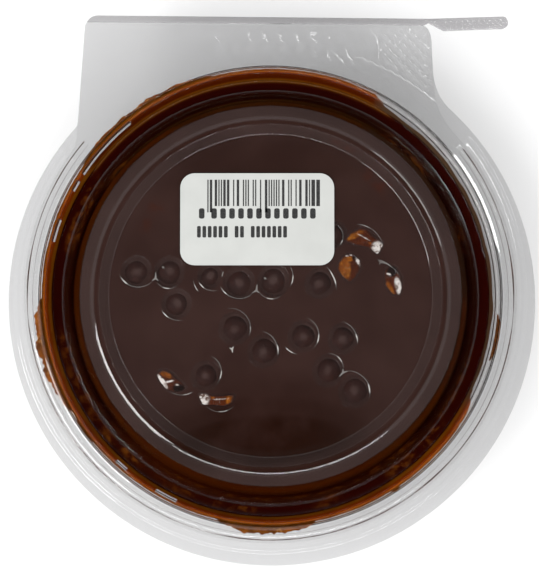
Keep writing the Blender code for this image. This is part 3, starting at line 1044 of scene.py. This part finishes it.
# Centre, radius, compass span and brightest place of each pocket's lip, and how brightly its painted highlight
# shines there.
LIP_HIGHLIGHTS = (
    (-35.7, 7.3, 5.5, 203, 319, 225, 1.0), (-27.5, 5.3, 3.8, 214, 310, 261, 0.8),
    (-24.6, -1.8, 5.3, 210, 282, 224, 1.0), (-15.5, 5.3, 4.3, 205, 288, 222, 1.0),
    (-15.9, 4.2, 4.9, 184, 225, 212, 0.6), (-8.5, 4.4, 5.4, 203, 318, 219, 1.0),
    (-8.5, 4.4, 4.6, 156, 176, 166, 0.3), (0.3, 3.0, 4.0, 211, 311, 264, 0.8),
    (1.0, 5.1, 5.0, 325, 393, 350, 1.0), (9.0, 1.5, 8.7, 0, 48, 24, 0.9),
    (-10.6, -9.0, 5.3, 338, 462, 352, 0.5), (-3.6, -15.3, 5.8, 350, 437, 5, 1.0),
    (8.2, -10.7, 4.9, 312, 432, 350, 1.0), (8.2, -10.7, 5.2, 217, 262, 234, 0.9),
    (17.5, -12.5, 6.0, 357, 432, 8, 1.0), (15.7, -19.6, 4.1, 0, 92, 40, 0.7),
    (21.2, -25.9, 5.7, 344, 462, 10, 1.0), (-17.7, -20.9, 4.7, 316, 428, 352, 0.9),
    (15.9, 16.1, 3.5, 313, 428, 330, 0.6), (22.9, 11.8, 7.6, 15, 89, 75, 0.35),
    (25.2, -1.3, 11.8, 36, 72, 66, 0.35), (-23.7, -21.3, 5.8, 237, 304, 288, 0.5),
    (-13.3, -26.3, 5.2, 226, 316, 280, 0.45),
)
# Middle and brightness of the painted highlight of each web where two lips meet and of each small glint, and
# the directions and lengths of its arms.
WEB_HIGHLIGHTS = (
    (-31.0, 4.2, 0.35, ((88, 2.3), (215, 1.5), (320, 1.3))),
    (-3.8, 1.2, 0.35, ((85, 2.4), (210, 1.6), (320, 1.3))),
    (19.7, -20.6, 0.35, ((15, 1.7), (95, 1.2), (228, 2.2))),
    (-10.2, -14.6, 0.8, ((55, 0.9), (160, 0.9), (280, 1.3))),
    (29.6, 9.3, 0.2, ((-20, 2.4), (150, 1.0), (240, 1.1))), (-29.0, 7.2, 0.25, ((-35, 0.5), (145, 0.5))),
    (-1.5, 4.5, 0.25, ((-35, 0.5), (145, 0.5))),
)


# Section of a lip, in half widths.
LIP_SECTION = ((-1, -0.4), (-0.5, 0), (0.5, 0), (1, -0.4), (0, -2))


def lip_highlights_shape():
    """Strips with painted highlights where the mousse round the air pockets meets the lid, and webs between two
    lips.
    """
    tub, lid, mousse = settings().tub, settings().lid, settings().mousse
    top = lid.panel - tub.sheet + mousse.bite + 0.03 * MM
    shape = Shape()
    for x, y, radius, start, end, bright, strength in LIP_HIGHLIGHTS:
        rings = []
        count = round((end - start) * radius / 12)
        brightest = bright if bright >= start else bright + 360
        for k in range(count + 1):
            turn = start + (end - start) * k / count
            fade = min(1.0, 5 * k / count, 5 * (1 - k / count))
            flare = 1 - smooth(7, 18, abs(turn - brightest))
            half = mousse.lip * (0.35 + 0.65 * fade) * (0.75 + 0.5 * flare)
            a = radians(turn)
            middle = radius * MM + 0.06 * MM * wave(3 * cos(a), 3 * sin(a), x)
            ring = []
            for dx, dz in LIP_SECTION:
                far = middle + half * dx
                ring.append((x * MM + far * cos(a), y * MM + far * sin(a), top + half * dz))
            rings.append(shape.ring(ring))
            shape.mask(len(ring), shine=fade * strength * (0.15 + 0.85 * flare))
        shape.loft(rings, capped=True)
    for x, y, strength, arms in WEB_HIGHLIGHTS:
        outline = []
        for turn in turns(48):
            reach = 0.0
            for arm, far in arms:
                off = turn - radians(arm)
                if cos(off) > 0:
                    reach = max(reach, mousse.web / (abs(sin(off)) + mousse.web / (far * MM)))
            reach = max(reach, mousse.web)
            outline.append(Vector((x * MM + reach * cos(turn), y * MM + reach * sin(turn))))
        slab(shape, outline, top - 0.3 * MM, top, lambda px, py, z: (px, py, z))
        shape.mask(2 * len(outline), shine=strength)
    return shape


# Compass span in degrees, radii in mm and strength of the thin, amber places in the lid's channel.
SMEARS = (
    (146, 168, 54.2, 58.2, 1.0), (136, 147, 52.8, 54.8, 0.6), (190, 212, 55.6, 59.2, 0.7),
    (212, 233, 56.6, 59.4, 1.0), (238, 262, 57.2, 59.2, 0.45), (261, 267, 57.2, 59.0, 0.9),
    (283, 290, 56.0, 59.0, 0.8), (304, 324, 56.4, 59.4, 0.9), (300, 316, 54.0, 55.4, 0.7),
    (236, 305, 54.3, 55.3, 0.4), (324, 346, 55.4, 57.2, 0.6), (38, 57, 52.6, 56.2, 0.8),
    (14, 21, 53.0, 55.6, 0.5), (60, 69, 44.3, 45.7, 0.8), (40, 53, 40.0, 44.6, 0.45),
    (141, 146, 36.0, 41.0, 0.5), (149, 154, 37.0, 40.0, 0.5),
)
# The same for browner mousse on the walls of the channel, and for a bright orange line at the plug wall's foot,
# painted glow of light shining through the thin mousse.
STAINS_AND_GLOW = ((120, 360, 51.6, 53.0, 0.5), (56, 146, 58.9, 60.0, 1.0))
# Middle, half length, half width, turn and strength of the darker and redder places on the panel, painted shade
# where less of the room's reflection lies over the mousse.
PAINTED_SHADE_PLACES = (
    (-3, -38, 40, 17, 4, 0.3), (-3, -38, 34, 12, 4, 0.6), (-2, -39, 27, 8, 4, 0.9), (0, 37, 30, 7, 0, 0.3),
)


def patch(spans, angle, radius):
    """The strongest of some patches at a place, soft at their edges."""
    turned, r = degrees(angle) % 360, radius / MM
    amount = 0.0
    for start, end, near, far, strength in spans:
        half, deep = (end - start) / 2, (far - near) / 2
        off = abs((turned - (start + end) / 2 + 180) % 360 - 180)
        round_edge = 1 - smooth(half - 3, half + 2, off)
        inner_edge = 1 - smooth(0.6 * deep, 1.15 * deep, abs(r - (near + far) / 2))
        amount = max(amount, strength * round_edge * inner_edge)
    return amount


def mousse_shape():
    """The mousse, from the bowl's wall to the lid, with an air pocket round each topping."""
    mousse, tub, lid = settings().mousse, settings().tub, settings().lid
    pressed = balls() + nuts()
    contact = lid_contact()
    profile = [p for p in finer(below(rounded(bowl_wall(), 6), mousse.bite), 4 * MM)
               if p.y < tub.seat_height - 0.3 * MM]
    under_channel = at_radius(contact, (lid.channel_inner + lid.channel_outer) / 2)
    profile.append(Vector((tub.seat_radius + mousse.bite, under_channel)))
    side_count = len(profile) - 1
    top_inner, top_outer = lid.panel_radius - 1 * MM, lid.channel_outer + 0.4 * MM
    profile += [p for p in reversed(contact) if top_inner < p.x < top_outer]
    edge = profile[-1].x
    rings = round(edge / mousse.grain)
    profile += [Vector((edge * (1 - k / rings), contact[0].y)) for k in range(1, rings)]
    shape = Shape()
    angles = turns(mousse.rounds)
    made = []
    for k, p in enumerate(profile[1:], 1):
        ring = []
        top = k > side_count
        flat = top and p.x < lid.panel_radius - 0.8 * MM
        deep = smooth(lid.ring_outer - 0.3 * MM, lid.ring_outer + 0.2 * MM, p.x) if top else 0.0
        for a in angles:
            x, y = p.x * cos(a), p.x * sin(a)
            down = pocket_depth(x, y, pressed) if flat else 0.0
            ring.append((x, y, p.y - down))
            # One mask for browner mousse, painted glow and painted shade.
            stain = max(patch(STAINS_AND_GLOW, a, p.x), spots(PAINTED_SHADE_PLACES, x / MM, y / MM))
            shape.mask(channel=deep, smear=patch(SMEARS, a, p.x) * top, stain=stain * top,
                       pocket=smooth(0.02 * MM, 0.3 * MM, down))
        made.append(shape.ring(ring))
    shape.loft(made, shape.point(0, 0, profile[0].y), shape.point(0, 0, contact[0].y))
    shape.mask(2, channel=0.0, smear=0.0, stain=0.0, pocket=0.0)
    return shape


# Compass spans, in degrees, of the slots and bubbles that stay clear in the film.
CLEAR_SLOTS = (
    (129, 148), (149, 153), (160, 167), (227, 231.5), (239.5, 246.5), (251.5, 252.5), (256.5, 257.5),
    (291, 292), (296.5, 297.5), (172, 172.8), (176, 177),
)
FILM_SPAN = (61, 336)
# Rows of faces up the film, as counted at the start and the end of its slots and at its edge.
FILM_ROWS = (4, 7, 13)
# Compass span, radii in mm and strength of the film's bright amber lines, partly painted glow of light shining
# through the thin mousse, and of its brown bands.
AMBER_LINES = (
    (58, 147, 59.4, 59.9, 1.0), (58, 147, 61.2, 61.5, 0.8), (128, 150, 60.0, 60.6, 0.7),
)
BROWN_BANDS = (
    (58, 145, 60.0, 61.2, 1.0), (58, 147, 61.5, 61.75, 0.7), (150, 210, 58.8, 59.8, 0.8),
    (214, 330, 58.8, 59.7, 0.6),
)


def film_shape():
    """The film of mousse squeezed up between the lid's plug and the bowl's wall, with its clear slots."""
    tub, lid, mousse = settings().tub, settings().lid, settings().mousse
    inner = [p for p in finer(below(lid_profile(), tub.sheet - mousse.bite), 0.3 * MM)
             if p.x > lid.channel_outer]
    outer = [p for p in finer(below(bowl_profile(), mousse.bite), 0.3 * MM)
             if p.y > tub.seat_height - 1 * MM and p.x < tub.mouth]
    walls = ((inner, inner[0].x + 0.3 * MM), (outer, tub.seat_radius + 0.05 * MM))
    slot_start, slot_end, count = FILM_ROWS
    shape = Shape()
    start, end = FILM_SPAN
    columns = []
    for k in range(720):
        turned = k / 2
        a = radians(turned)
        rough = wave(9 * cos(a), 9 * sin(a))
        rougher = wave(45 * cos(a), 45 * sin(a), 4)
        begun = smooth(start - 2, start + 3, turned + 1.5 * rougher)
        filled = begun * (1 - smooth(end - 10, end + 1, turned + 4 * rougher))
        high = mousse.film_edge + 0.10 * MM * (rough + rougher)
        low = mousse.film_low + 0.25 * MM * rough
        top = low + (high - low) * filled
        column = []
        for outside, (profile, base) in enumerate(walls):
            shares = [0.0]
            stops = (mousse.slot_inner, mousse.slot_outer, mousse.film_edge)
            for near, far, stop in zip((0, slot_start, slot_end), FILM_ROWS, stops):
                last, share = shares[-1], (stop - base) / (mousse.film_edge - base)
                shares += [last + (share - last) * j / (far - near) for j in range(1, far - near + 1)]
            column.append([])
            for share in shares:
                r = base + (max(top, base + 0.1 * MM) - base) * share
                column[-1].append(shape.point(*round_place(r, a, at_radius(profile, r))))
                shape.mask(height=(r - inner[0].x) / (mousse.film_edge - inner[0].x), clean=1 - filled,
                           amber=patch(AMBER_LINES, a, r), brown=patch(BROWN_BANDS, a, r), outside=outside)
        columns.append((column, any(near < turned < far for near, far in CLEAR_SLOTS)))
    for k, (here, slot) in enumerate(columns):
        after, next_slot = columns[(k + 1) % len(columns)]
        runs = [(0, slot_start), (slot_end, count)] if slot and next_slot else [(0, count)]
        for low, high in runs:
            shape.skins(here, after, low, high)
        if slot and columns[k - 1][1] != next_slot:
            shape.close(here, slot_start, slot_end)
    return shape


# Compass span in degrees of each leak, and how far beyond the film it gets in mm.
LEAKS = (
    (181, 211, 2.7), (257, 282, 2.4), (104, 147, 1.2), (344, 356, 0.9), (302, 305, 0.7), (212, 222, 0.5),
)


def leak_shape():
    """Mousse that was squeezed over the rim, between the two sheets."""
    film_edge = settings().mousse.film_edge
    shape = Shape()
    lift, thick, rows = 0.03 * MM, 0.2 * MM, 9
    for start, end, reach in LEAKS:
        count = round(3 * (end - start))
        previous = None
        for k in range(count + 1):
            t = k / count
            a = radians(start + (end - start) * t)
            profile = bowl_profile(a)
            ragged = 0.85 + 0.35 * wave(14 * cos(a), 14 * sin(a), 3) + 0.3 * wave(60 * cos(a), 60 * sin(a), 5)
            far = reach * MM * max(ragged, 0.15) * (4 * t * (1 - t)) ** 0.6
            radii = [film_edge - 0.15 * MM + (far + 0.1 * MM) * j / rows for j in range(rows + 1)]
            columns = [[shape.point(*round_place(r, a, at_radius(profile, r) + up)) for r in radii]
                       for up in (lift, lift + thick)]
            if previous:
                shape.skins(previous, columns, 0, rows)
            if k in (0, count):
                shape.close(columns, 0, rows)
            previous = columns
    return shape


# Start and span in degrees of the lines in the bead's creases, and how many steps they are made in.
CREASE_START, CREASE_SPAN, CREASE_STEPS = 141, 257, 540


def residue_shape():
    """Hair-thin lines of mousse drawn into the creases on both sides of the bead."""
    tub, lid = settings().tub, settings().lid
    shape = Shape()
    for radius, height, half, seed in (
        (lid.bead_foot - 0.05 * MM, tub.flange + 0.2 * MM, 0.19 * MM, 0.0),
        (tub.rim_outer, tub.rim + 0.08 * MM, 0.045 * MM, 7.0),
    ):
        rings = []
        for k in range(CREASE_STEPS + 1):
            a = radians(CREASE_START + CREASE_SPAN * k / CREASE_STEPS)
            wide = half * (0.8 + 0.6 * wave(6 * cos(a), 6 * sin(a), seed))
            rings.append(shape.ring(round_place(radius + wide * dx, a, height + 0.6 * wide * dz)
                                    for dx, dz in ((-1, 0), (0, 1), (1, 0), (0, -1))))
        shape.loft(rings, capped=True)
    return shape


# ---------------------------------------------------------------- toppings' shapes

def lid_underside():
    """Height at which a topping just touches the lid."""
    return settings().lid.panel - settings().tub.sheet + 0.02 * MM


def ball_shape(topping, seed):
    """A chocolate ball, a little dented and pressed flatter on top."""
    shape = Shape()
    rounds, rows = 44, 26
    radius, rise = 1.15 * topping.size.x, settings().mousse.ball_rise
    centre = Vector((*topping.place, lid_underside() - rise))
    shift = Vector((seed, 2 * seed, 0))

    def skin(turn, tilt):
        away = Vector((cos(turn) * sin(tilt), sin(turn) * sin(tilt), cos(tilt)))
        dent = 1 + 0.03 * noise.noise(away * 1.7 + shift) + 0.01 * noise.noise(away * 5 + shift)
        flat = rise / radius if away.z > 0 else 0.8
        return centre + Vector((away.x, away.y, away.z * flat)) * radius * dent

    places = [(turn, pi * k / rows) for k in range(1, rows) for turn in turns(rounds)]
    places = [(0.0, 0.0), *places, (0.0, pi)]
    points = [shape.point(*skin(*place)) for place in places]
    rings = [points[1 + k * rounds:1 + (k + 1) * rounds] for k in range(rows - 1)]
    shape.loft(rings, points[0], points[-1])
    shape.masks["spread"] = [sin(tilt) for _, tilt in places]
    return shape


# Outline of each nut, in mm from its middle, then its spots of bright caramel, partly painted glow, of crazed
# sugar, partly painted glare, and of dark hollows painted as shade, each with its middle, half length, half
# width, turn and strength.
NUT_LOOKS = (
    (
        ((-5.9, -0.5), (-4.1, 1.9), (-1.4, 3.2), (0.8, 2.7), (3.0, 0.5), (4.7, -1.1), (3.4, -4.3),
         (1.1, -2.4), (-2.7, -1.6)),
        ((-3.0, 1.2, 2.9, 0.9, 27, 1.0), (1.2, -1.0, 0.5, 0.3, 0, 1.0)),
        ((3.3, -2.3, 1.6, 1.9, 20, 1.0), (-0.5, 0.6, 2.0, 0.13, -30, 0.7)),
        ((1.6, 1.2, 2.2, 0.5, -42, 0.6),),
    ),
    (
        ((-2.6, 1.5), (-0.7, 3.6), (1.2, 3.5), (3.1, 2.0), (3.3, -0.2), (2.2, -2.6), (0.5, -4.2),
         (-1.5, -2.6), (-3.0, -0.4)),
        ((-0.9, 0.0, 1.7, 3.2, 8, 0.8), (0.4, 2.6, 1.0, 1.0, 0, 1.0)),
        ((2.7, 1.7, 0.45, 1.2, 35, 1.0), (0.2, 3.3, 1.2, 0.13, 10, 0.8)),
        ((1.8, 2.6, 0.9, 0.6, 0, 0.9),),
    ),
    (
        ((-1.7, 1.6), (-0.6, 3.1), (1.3, 2.4), (2.7, 0.0), (3.1, -2.2), (2.7, -5.2), (0.8, -5.0),
         (-1.4, -2.7), (-1.7, -0.6)),
        ((-0.2, -3.3, 0.9, 2.2, 25, 1.0),),
        ((2.0, -2.4, 0.9, 2.4, 12, 1.0), (-0.5, 0.7, 0.7, 0.25, -15, 1.0)),
        ((0.3, 1.5, 1.5, 1.6, 0, 1.0),),
    ),
    (
        ((-3.1, 1.5), (-1.1, 2.7), (0.8, 1.9), (2.4, 0.3), (4.6, -1.1), (5.1, -2.7), (2.4, -3.5),
         (-0.3, -2.7), (-1.9, -0.8)),
        ((-0.5, 1.6, 2.0, 0.9, -30, 1.0),),
        ((-1.3, -0.4, 2.3, 0.65, -54, 1.0), (0.6, -0.4, 1.3, 0.22, 15, 1.0), (2.6, -1.3, 0.4, 0.35, 0, 1.0)),
        ((3.2, -2.2, 1.8, 1.3, 0, 1.0),),
    ),
    (
        ((-5.5, 2.2), (-3.6, 2.5), (-1.7, 1.8), (1.5, 1.8), (4.5, 2.2), (3.7, -0.1), (1.8, -1.0),
         (-2.0, -0.6), (-4.1, -0.9)),
        ((3.3, 0.8, 1.0, 1.5, -20, 1.0), (-1.2, 1.2, 0.5, 0.4, 0, 1.0)),
        ((-3.9, 0.8, 1.6, 1.7, 0, 1.0), (1.0, 0.9, 2.2, 0.16, 4, 0.6)),
        (),
    ),
)


def spots(group, x, y):
    """The strongest of some soft spots at a place."""
    amount = 0.0
    for middle_x, middle_y, long, wide, turn, strength in group:
        away = Matrix.Rotation(-radians(turn), 2) @ Vector((x - middle_x, y - middle_y))
        share = Vector((away.x / long, away.y / wide)).length
        amount = max(amount, strength * (1 - smooth(0.7, 1.15, share)))
    return amount


def outline_distance(outline, turn):
    """How far an outline round its own middle reaches in one direction."""
    away = Vector((cos(turn), sin(turn)))
    far = 0.0
    for start, end in zip(outline, outline[1:] + outline[:1]):
        start, side = Vector(start), Vector(end) - Vector(start)
        turned = away.cross(side)
        if abs(turned) < 1e-6:
            continue
        along, share = start.cross(side) / turned, start.cross(away) / turned
        if along > 0 and -1e-6 <= share <= 1 + 1e-6:
            far = max(far, along)
    return far


def outline_reaches(outline):
    """The softened outline of a nut, as distances all round its middle."""
    reaches = [outline_distance(outline, turn) * MM for turn in turns(72)]
    return [(before + 2 * here + after) / 4
            for before, here, after in zip(reaches[-1:] + reaches, reaches, reaches[1:] + reaches[:1])]


def nut_shape(topping, look, seed):
    """A broken kernel in glassy caramel, flat where it touches the lid."""
    # Spots of bright caramel with painted glow, of sugar with painted glare, and of painted shade in hollows.
    _, glows, sugar_and_glare_spots, hollows = look
    shape = Shape()
    top = lid_underside()
    reaches = [1.05 * reach / MM for reach in topping.reaches]
    rounds = turns(len(reaches))

    def crag(x, y, share, down):
        ridges = abs(wave(0.55 * x + seed, 0.55 * y)) + 0.5 * abs(wave(1.3 * x, 1.3 * y + seed))
        grit = wave(4 * x, 4 * y, seed)
        drop = 0.05 + 0.35 * ridges * (1 - share**2) + 0.3 * share**6 + 0.03 * grit + down
        shape.mask(edge=smooth(0.72, 0.98, share + 0.08 * wave(2.5 * x, 2.5 * y, 3)))
        shaken = x + 0.12 * wave(5 * x, 5 * y), y + 0.12 * wave(5 * x, 5 * y, 9)
        shape.mask(glow=spots(glows, *shaken), sugar=spots(sugar_and_glare_spots, *shaken), hollow=spots(hollows, *shaken))
        return shape.point(topping.place.x + x * MM, topping.place.y + y * MM, top - max(drop, 0.0) * MM)

    rings = []
    for share, down in [(k / 14, 0.0) for k in range(1, 15)] + [(0.97, 0.9), (0.8, 1.7), (0.45, 2.3)]:
        rings.append([crag(share * far * cos(a), share * far * sin(a), share, down)
                      for a, far in zip(rounds, reaches)])
    shape.loft(rings, crag(0.0, 0.0, 0.0, 0.0), crag(0.0, 0.0, 0.0, 2.5))
    return shape


# ---------------------------------------------------------------- label

def rounded_box(half_x, half_y, corner, steps=8):
    inner_x, inner_y = half_x - corner, half_y - corner
    points = []
    for quarter, (sx, sy) in enumerate([(1, 1), (-1, 1), (-1, -1), (1, -1)]):
        for k in range(steps + 1):
            a = (quarter + k / steps) * pi / 2
            points.append((sx * inner_x + corner * cos(a), sy * inner_y + corner * sin(a)))
    return points


def slab(shape, outline, low, high, place):
    """A thin flat piece with an outline."""
    bottom = shape.ring(place(x, y, low) for x, y in outline)
    top = shape.ring(place(x, y, high) for x, y in outline)
    shape.bridge(bottom, top)
    shape.faces += [bottom[::-1], top]


LABEL_TURN = radians(0.6)
LABEL_HALF = Vector((20.75, 12.45)) * MM


def label_place(x, y, z):
    """A place on the label, from its own middle and along its own sides."""
    low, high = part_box("label")
    return (*((low.xy + high.xy) / 2 + Matrix.Rotation(LABEL_TURN, 2) @ Vector((x, y))), z)


def label_paper():
    low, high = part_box("label")
    shape = Shape()
    slab(shape, rounded_box(*LABEL_HALF, settings().label.corner), low.z, high.z, label_place)
    return shape


# Left and right end of the row of bars, their top below the label's top, and the bars that reach lower.
BARS_LEFT, BARS_RIGHT, BARS_TOP = -13.45 * MM, 17.6 * MM, 1.75 * MM
GUARD_BARS = (0, 1, 14, 15)
GUARD_EXTRA = 1.7 * MM
# Left end, pitch, places that have a block, size, top below the label's top and rounding of each row.
BLOCK_ROWS = (
    (-15.7, 2.42, (0,), 1.5, 2.8, 9.5, 0.5),
    (-14.8, 2.42, range(1, 13), 1.5, 2.8, 9.5, 0.5),
    (-16.2, 1.45, (0, 1, 2, 3, 4, 5, 7, 8, *range(10, 17)), 1.0, 3.1, 14.3, 0.3),
)


def label_bars():
    """Left end, right end and length of each bar."""
    sizes = settings().label
    made = []
    pen = BARS_LEFT
    while pen < BARS_RIGHT - 2 * sizes.module:
        k = len(made)
        bar, space = [(1 + int(2.999 * abs(wave(step * k, row)) * 1.9) % 3) * sizes.module
                      for step, row in ((1.7, 3.1), (2.3, 9.7))]
        made.append((pen, min(pen + bar, BARS_RIGHT), sizes.bar_height + GUARD_EXTRA * (k in GUARD_BARS)))
        pen += bar + space
    return made


def label_print():
    """Plain bars, and rounded blocks where the label has characters."""
    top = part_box("label")[1].z
    shape = Shape()

    def block(left, right, down, tall, corner=0.0):
        """A block that starts a way down from the label's top."""
        wide, high = (right - left) / 2, tall / 2
        outline = [(wide, high), (-wide, high), (-wide, -high), (wide, -high)]
        if corner:
            outline = rounded_box(wide, high, corner, 3)
        x, y = (left + right) / 2, LABEL_HALF.y - down - high
        outline = [(x + dx, y + dy) for dx, dy in outline]
        slab(shape, outline, top + 0.002 * MM, top + settings().label.ink, label_place)

    for left, right, tall in label_bars():
        block(left, right, BARS_TOP, tall)
    for left, pitch, places, wide, tall, down, corner in BLOCK_ROWS:
        for x in ((left + pitch * k) * MM for k in places):
            block(x, x + wide * MM, down * MM, tall * MM, corner * MM)
    return shape


# ---------------------------------------------------------------- stage

def add_object(scene, name, data):
    made = bpy.data.objects.new(name, data)
    scene.collection.objects.link(made)
    return made


def make_floor(scene):
    """A wide floor, just under the tub's foot."""
    paint = Finish("floor_paint", "", settings().finish.floor, 0.8, 0.1)
    mesh = bpy.data.meshes.new("floor")
    half, height = 3, -0.05 * MM
    corners = [(-half, -half, height), (half, -half, height), (half, half, height), (-half, half, height)]
    mesh.from_pydata(corners, [], [(0, 1, 2, 3)])
    mesh.materials.append(paint.material)
    add_object(scene, "floor", mesh)


# Name, compass side, width and length in metres, and the setting with the power, of each softbox.
SOFTBOXES = (
    ("key_softbox", 209, (0.36, 0.17), "key"),
    ("front_softbox", 275, (0.70, 0.07), "front"),
    ("back_softbox", 40, (0.28, 0.10), "back"),
)
SOFTBOX_SLANT = radians(33)
SOFTBOX_DISTANCE = 0.8


def make_lights(scene, stage, aim):
    slanted = Vector((sin(SOFTBOX_SLANT), 0, cos(SOFTBOX_SLANT))) * SOFTBOX_DISTANCE
    for name, turn, size, power in SOFTBOXES:
        light = bpy.data.lights.new(name, "AREA")
        light.shape = "RECTANGLE"
        light.size, light.size_y = size
        light.energy = getattr(stage, power)
        lamp = add_object(scene, name, light)
        lamp.location = aim + Matrix.Rotation(radians(turn), 3, "Z") @ slanted
        lamp.rotation_euler = (aim - lamp.location).to_track_quat("-Z", "Y").to_euler()


# Shades of the room that gloss reflects, from straight above, as the sine of the slant, to the horizon.
ROOM_SHADES = (
    (0.0, 0.0), (0.012, 0.01), (0.035, 0.04), (0.055, 0.055), (0.08, 0.055), (0.12, 0.035), (0.19, 0.005),
    (0.36, 0.005), (0.50, 0.36), (0.64, 0.40), (0.80, 0.17), (1.0, 0.08),
)


def make_room(stage):
    """A room with bright walls for gloss to reflect, and even white light for the rest."""
    world = bpy.data.worlds.new("room")
    world.use_nodes = True
    room = Nodes(world.node_tree)
    from_above = room.lean(room.node("TexCoord").outputs["Generated"])
    walls = room.ramp(from_above, [(place, (shade,) * 3) for place, shade in ROOM_SHADES], "EASE")
    seen = world.node_tree.nodes["Background"]
    room.plug(seen.inputs["Color"], walls)
    room.plug(seen.inputs["Strength"], stage.room)
    even = room.node("Background", {"Color": (1, 1, 1), "Strength": stage.ambient})
    diffuse = room.node("LightPath").outputs["Is Diffuse Ray"]
    both = room.node("MixShader", {"Fac": diffuse, 1: seen.outputs[0], 2: even.outputs[0]})
    room.plug(world.node_tree.nodes["World Output"].inputs["Surface"], both.outputs[0])
    world.cycles.sampling_method = "NONE"
    return world


def make_camera(scene, stage, aim):
    """The camera stands nearly over the tub, a little in front of it, and is level from left to right."""
    lens = bpy.data.cameras.new("camera")
    lens.lens = lens.sensor_width * sqrt(stage.distance**2 + stage.in_front**2) / stage.frame_height
    lens.clip_start = 0.01
    camera = add_object(scene, "camera", lens)
    camera.location = aim + Vector((0, -stage.in_front, stage.distance))
    away, right = (camera.location - aim).normalized(), Vector((1, 0, 0))
    level = Matrix((right, away.cross(right), away)).transposed()
    camera.rotation_euler = (level @ Matrix.Rotation(stage.roll, 3, "Z")).to_euler()
    scene.camera = camera


# ---------------------------------------------------------------- operators

class MOUSSE_OT_bowl(bpy.types.Operator):
    """Makes the clear bowl with its rim, guard rib, flange and tab"""

    bl_idname = "mousse.bowl"
    bl_label = "Clear bowl"

    def execute(self, context):
        sheet = clear_plastic("clear_bowl_sheet", settings().finish.plastic)
        bowl_shape().place("clear_bowl", sheet, "tub", ["bowl"], 40)
        return {"FINISHED"}


class MOUSSE_OT_lid(bpy.types.Operator):
    """Makes the clear lid with its ring, channel, bead and pressed tab"""

    bl_idname = "mousse.lid"
    bl_label = "Clear lid"

    def execute(self, context):
        sheet = clear_plastic("clear_lid_sheet", settings().finish.lid_plastic)
        lid_shape().place("clear_lid", sheet, "lid", ["lid"], 40)
        return {"FINISHED"}


class MOUSSE_OT_strip(bpy.types.Operator):
    """Makes the tear strip and its pull"""

    bl_idname = "mousse.strip"
    bl_label = "Tear strip"

    def execute(self, context):
        sheet = clear_plastic("clear_strip_sheet", settings().finish.folded)
        strip_shape().place("clear_tear_strip", sheet, "tub", ["tear_strip"], 50)
        return {"FINISHED"}


class MOUSSE_OT_mousse(bpy.types.Operator):
    """Makes the mousse that fills the tub, with an air pocket round each topping"""

    bl_idname = "mousse.mousse"
    bl_label = "Mousse"

    def execute(self, context):
        mousse_shape().place("chocolate_mousse", mousse_finish(), "tub", ["mousse"], 60)
        lip_highlights_shape().place("pocket_lips", lip_highlight_finish(), "tub", sharp=60)
        return {"FINISHED"}


class MOUSSE_OT_film(bpy.types.Operator):
    """Makes the thin mousse between the walls, the leaks over the rim and the lines in its creases"""

    bl_idname = "mousse.film"
    bl_label = "Thin mousse at the wall"

    def execute(self, context):
        film_shape().place("wall_film", film_finish(), "tub", sharp=60)
        leak_shape().place("rim_leaks", leak_finish(), "tub", sharp=60)
        residue_shape().place("crease_lines", residue_finish(), "tub", sharp=60)
        return {"FINISHED"}


class MOUSSE_OT_balls(bpy.types.Operator):
    """Makes the chocolate balls"""

    bl_idname = "mousse.balls"
    bl_label = "Chocolate balls"

    def execute(self, context):
        finish = chocolate_finish()
        for seed, topping in enumerate(balls(), 1):
            shape = ball_shape(topping, 3.7 * seed)
            shape.place("chocolate_" + topping.name, finish, "tub", [topping.name], 60)
        return {"FINISHED"}


class MOUSSE_OT_nuts(bpy.types.Operator):
    """Makes the caramelled nut pieces"""

    bl_idname = "mousse.nuts"
    bl_label = "Caramelled nuts"

    def execute(self, context):
        finish = caramel_finish()
        for seed, (topping, look) in enumerate(zip(nuts(), NUT_LOOKS), 1):
            shape = nut_shape(topping, look, 2.3 * seed)
            shape.place("caramelled_" + topping.name, finish, "tub", [topping.name], 60)
        return {"FINISHED"}


class MOUSSE_OT_label(bpy.types.Operator):
    """Makes the paper label and its plain bars and blocks"""

    bl_idname = "mousse.label"
    bl_label = "Label"

    def execute(self, context):
        label_paper().place("paper_label", paper_finish(), "lid", ["label"], 40)
        label_print().place("label_print", ink_finish(), "lid", sharp=40)
        return {"FINISHED"}


class MOUSSE_OT_stage(bpy.types.Operator):
    """Makes the floor, the lights, the room and the camera"""

    bl_idname = "mousse.stage"
    bl_label = "Stage"

    def execute(self, context):
        stage = settings().stage
        scene = context.scene
        aim = Vector((stage.aim_x, stage.aim_y, settings().tub.flange))
        make_floor(scene)
        make_lights(scene, stage, aim)
        scene.world = make_room(stage)
        scene.view_settings.view_transform = "Standard"
        make_camera(scene, stage, aim)
        return {"FINISHED"}


OPERATORS = (
    MOUSSE_OT_stage, MOUSSE_OT_bowl, MOUSSE_OT_lid, MOUSSE_OT_strip, MOUSSE_OT_mousse, MOUSSE_OT_film,
    MOUSSE_OT_balls, MOUSSE_OT_nuts, MOUSSE_OT_label,
)


class MOUSSE_PT_panel(bpy.types.Panel):
    """Lists the pieces of the tub"""

    bl_label = "Mousse tub"
    bl_idname = "MOUSSE_PT_panel"
    bl_space_type = "VIEW_3D"
    bl_region_type = "UI"
    bl_category = "Mousse"

    def draw(self, context):
        for operator in OPERATORS:
            self.layout.operator(operator.bl_idname)


CLASSES = (*SETTINGS.values(), MousseSettings, *OPERATORS, MOUSSE_PT_panel)


def register():
    for kind in CLASSES:
        bpy.utils.register_class(kind)
    bpy.types.Scene.mousse_tub = PointerProperty(type=MousseSettings)


def unregister():
    del bpy.types.Scene.mousse_tub
    for kind in reversed(CLASSES):
        bpy.utils.unregister_class(kind)


def main():
    register()
    for operator in OPERATORS:
        group, name = operator.bl_idname.split(".")
        getattr(getattr(bpy.ops, group), name)()


if __name__ == "__main__":
    main()
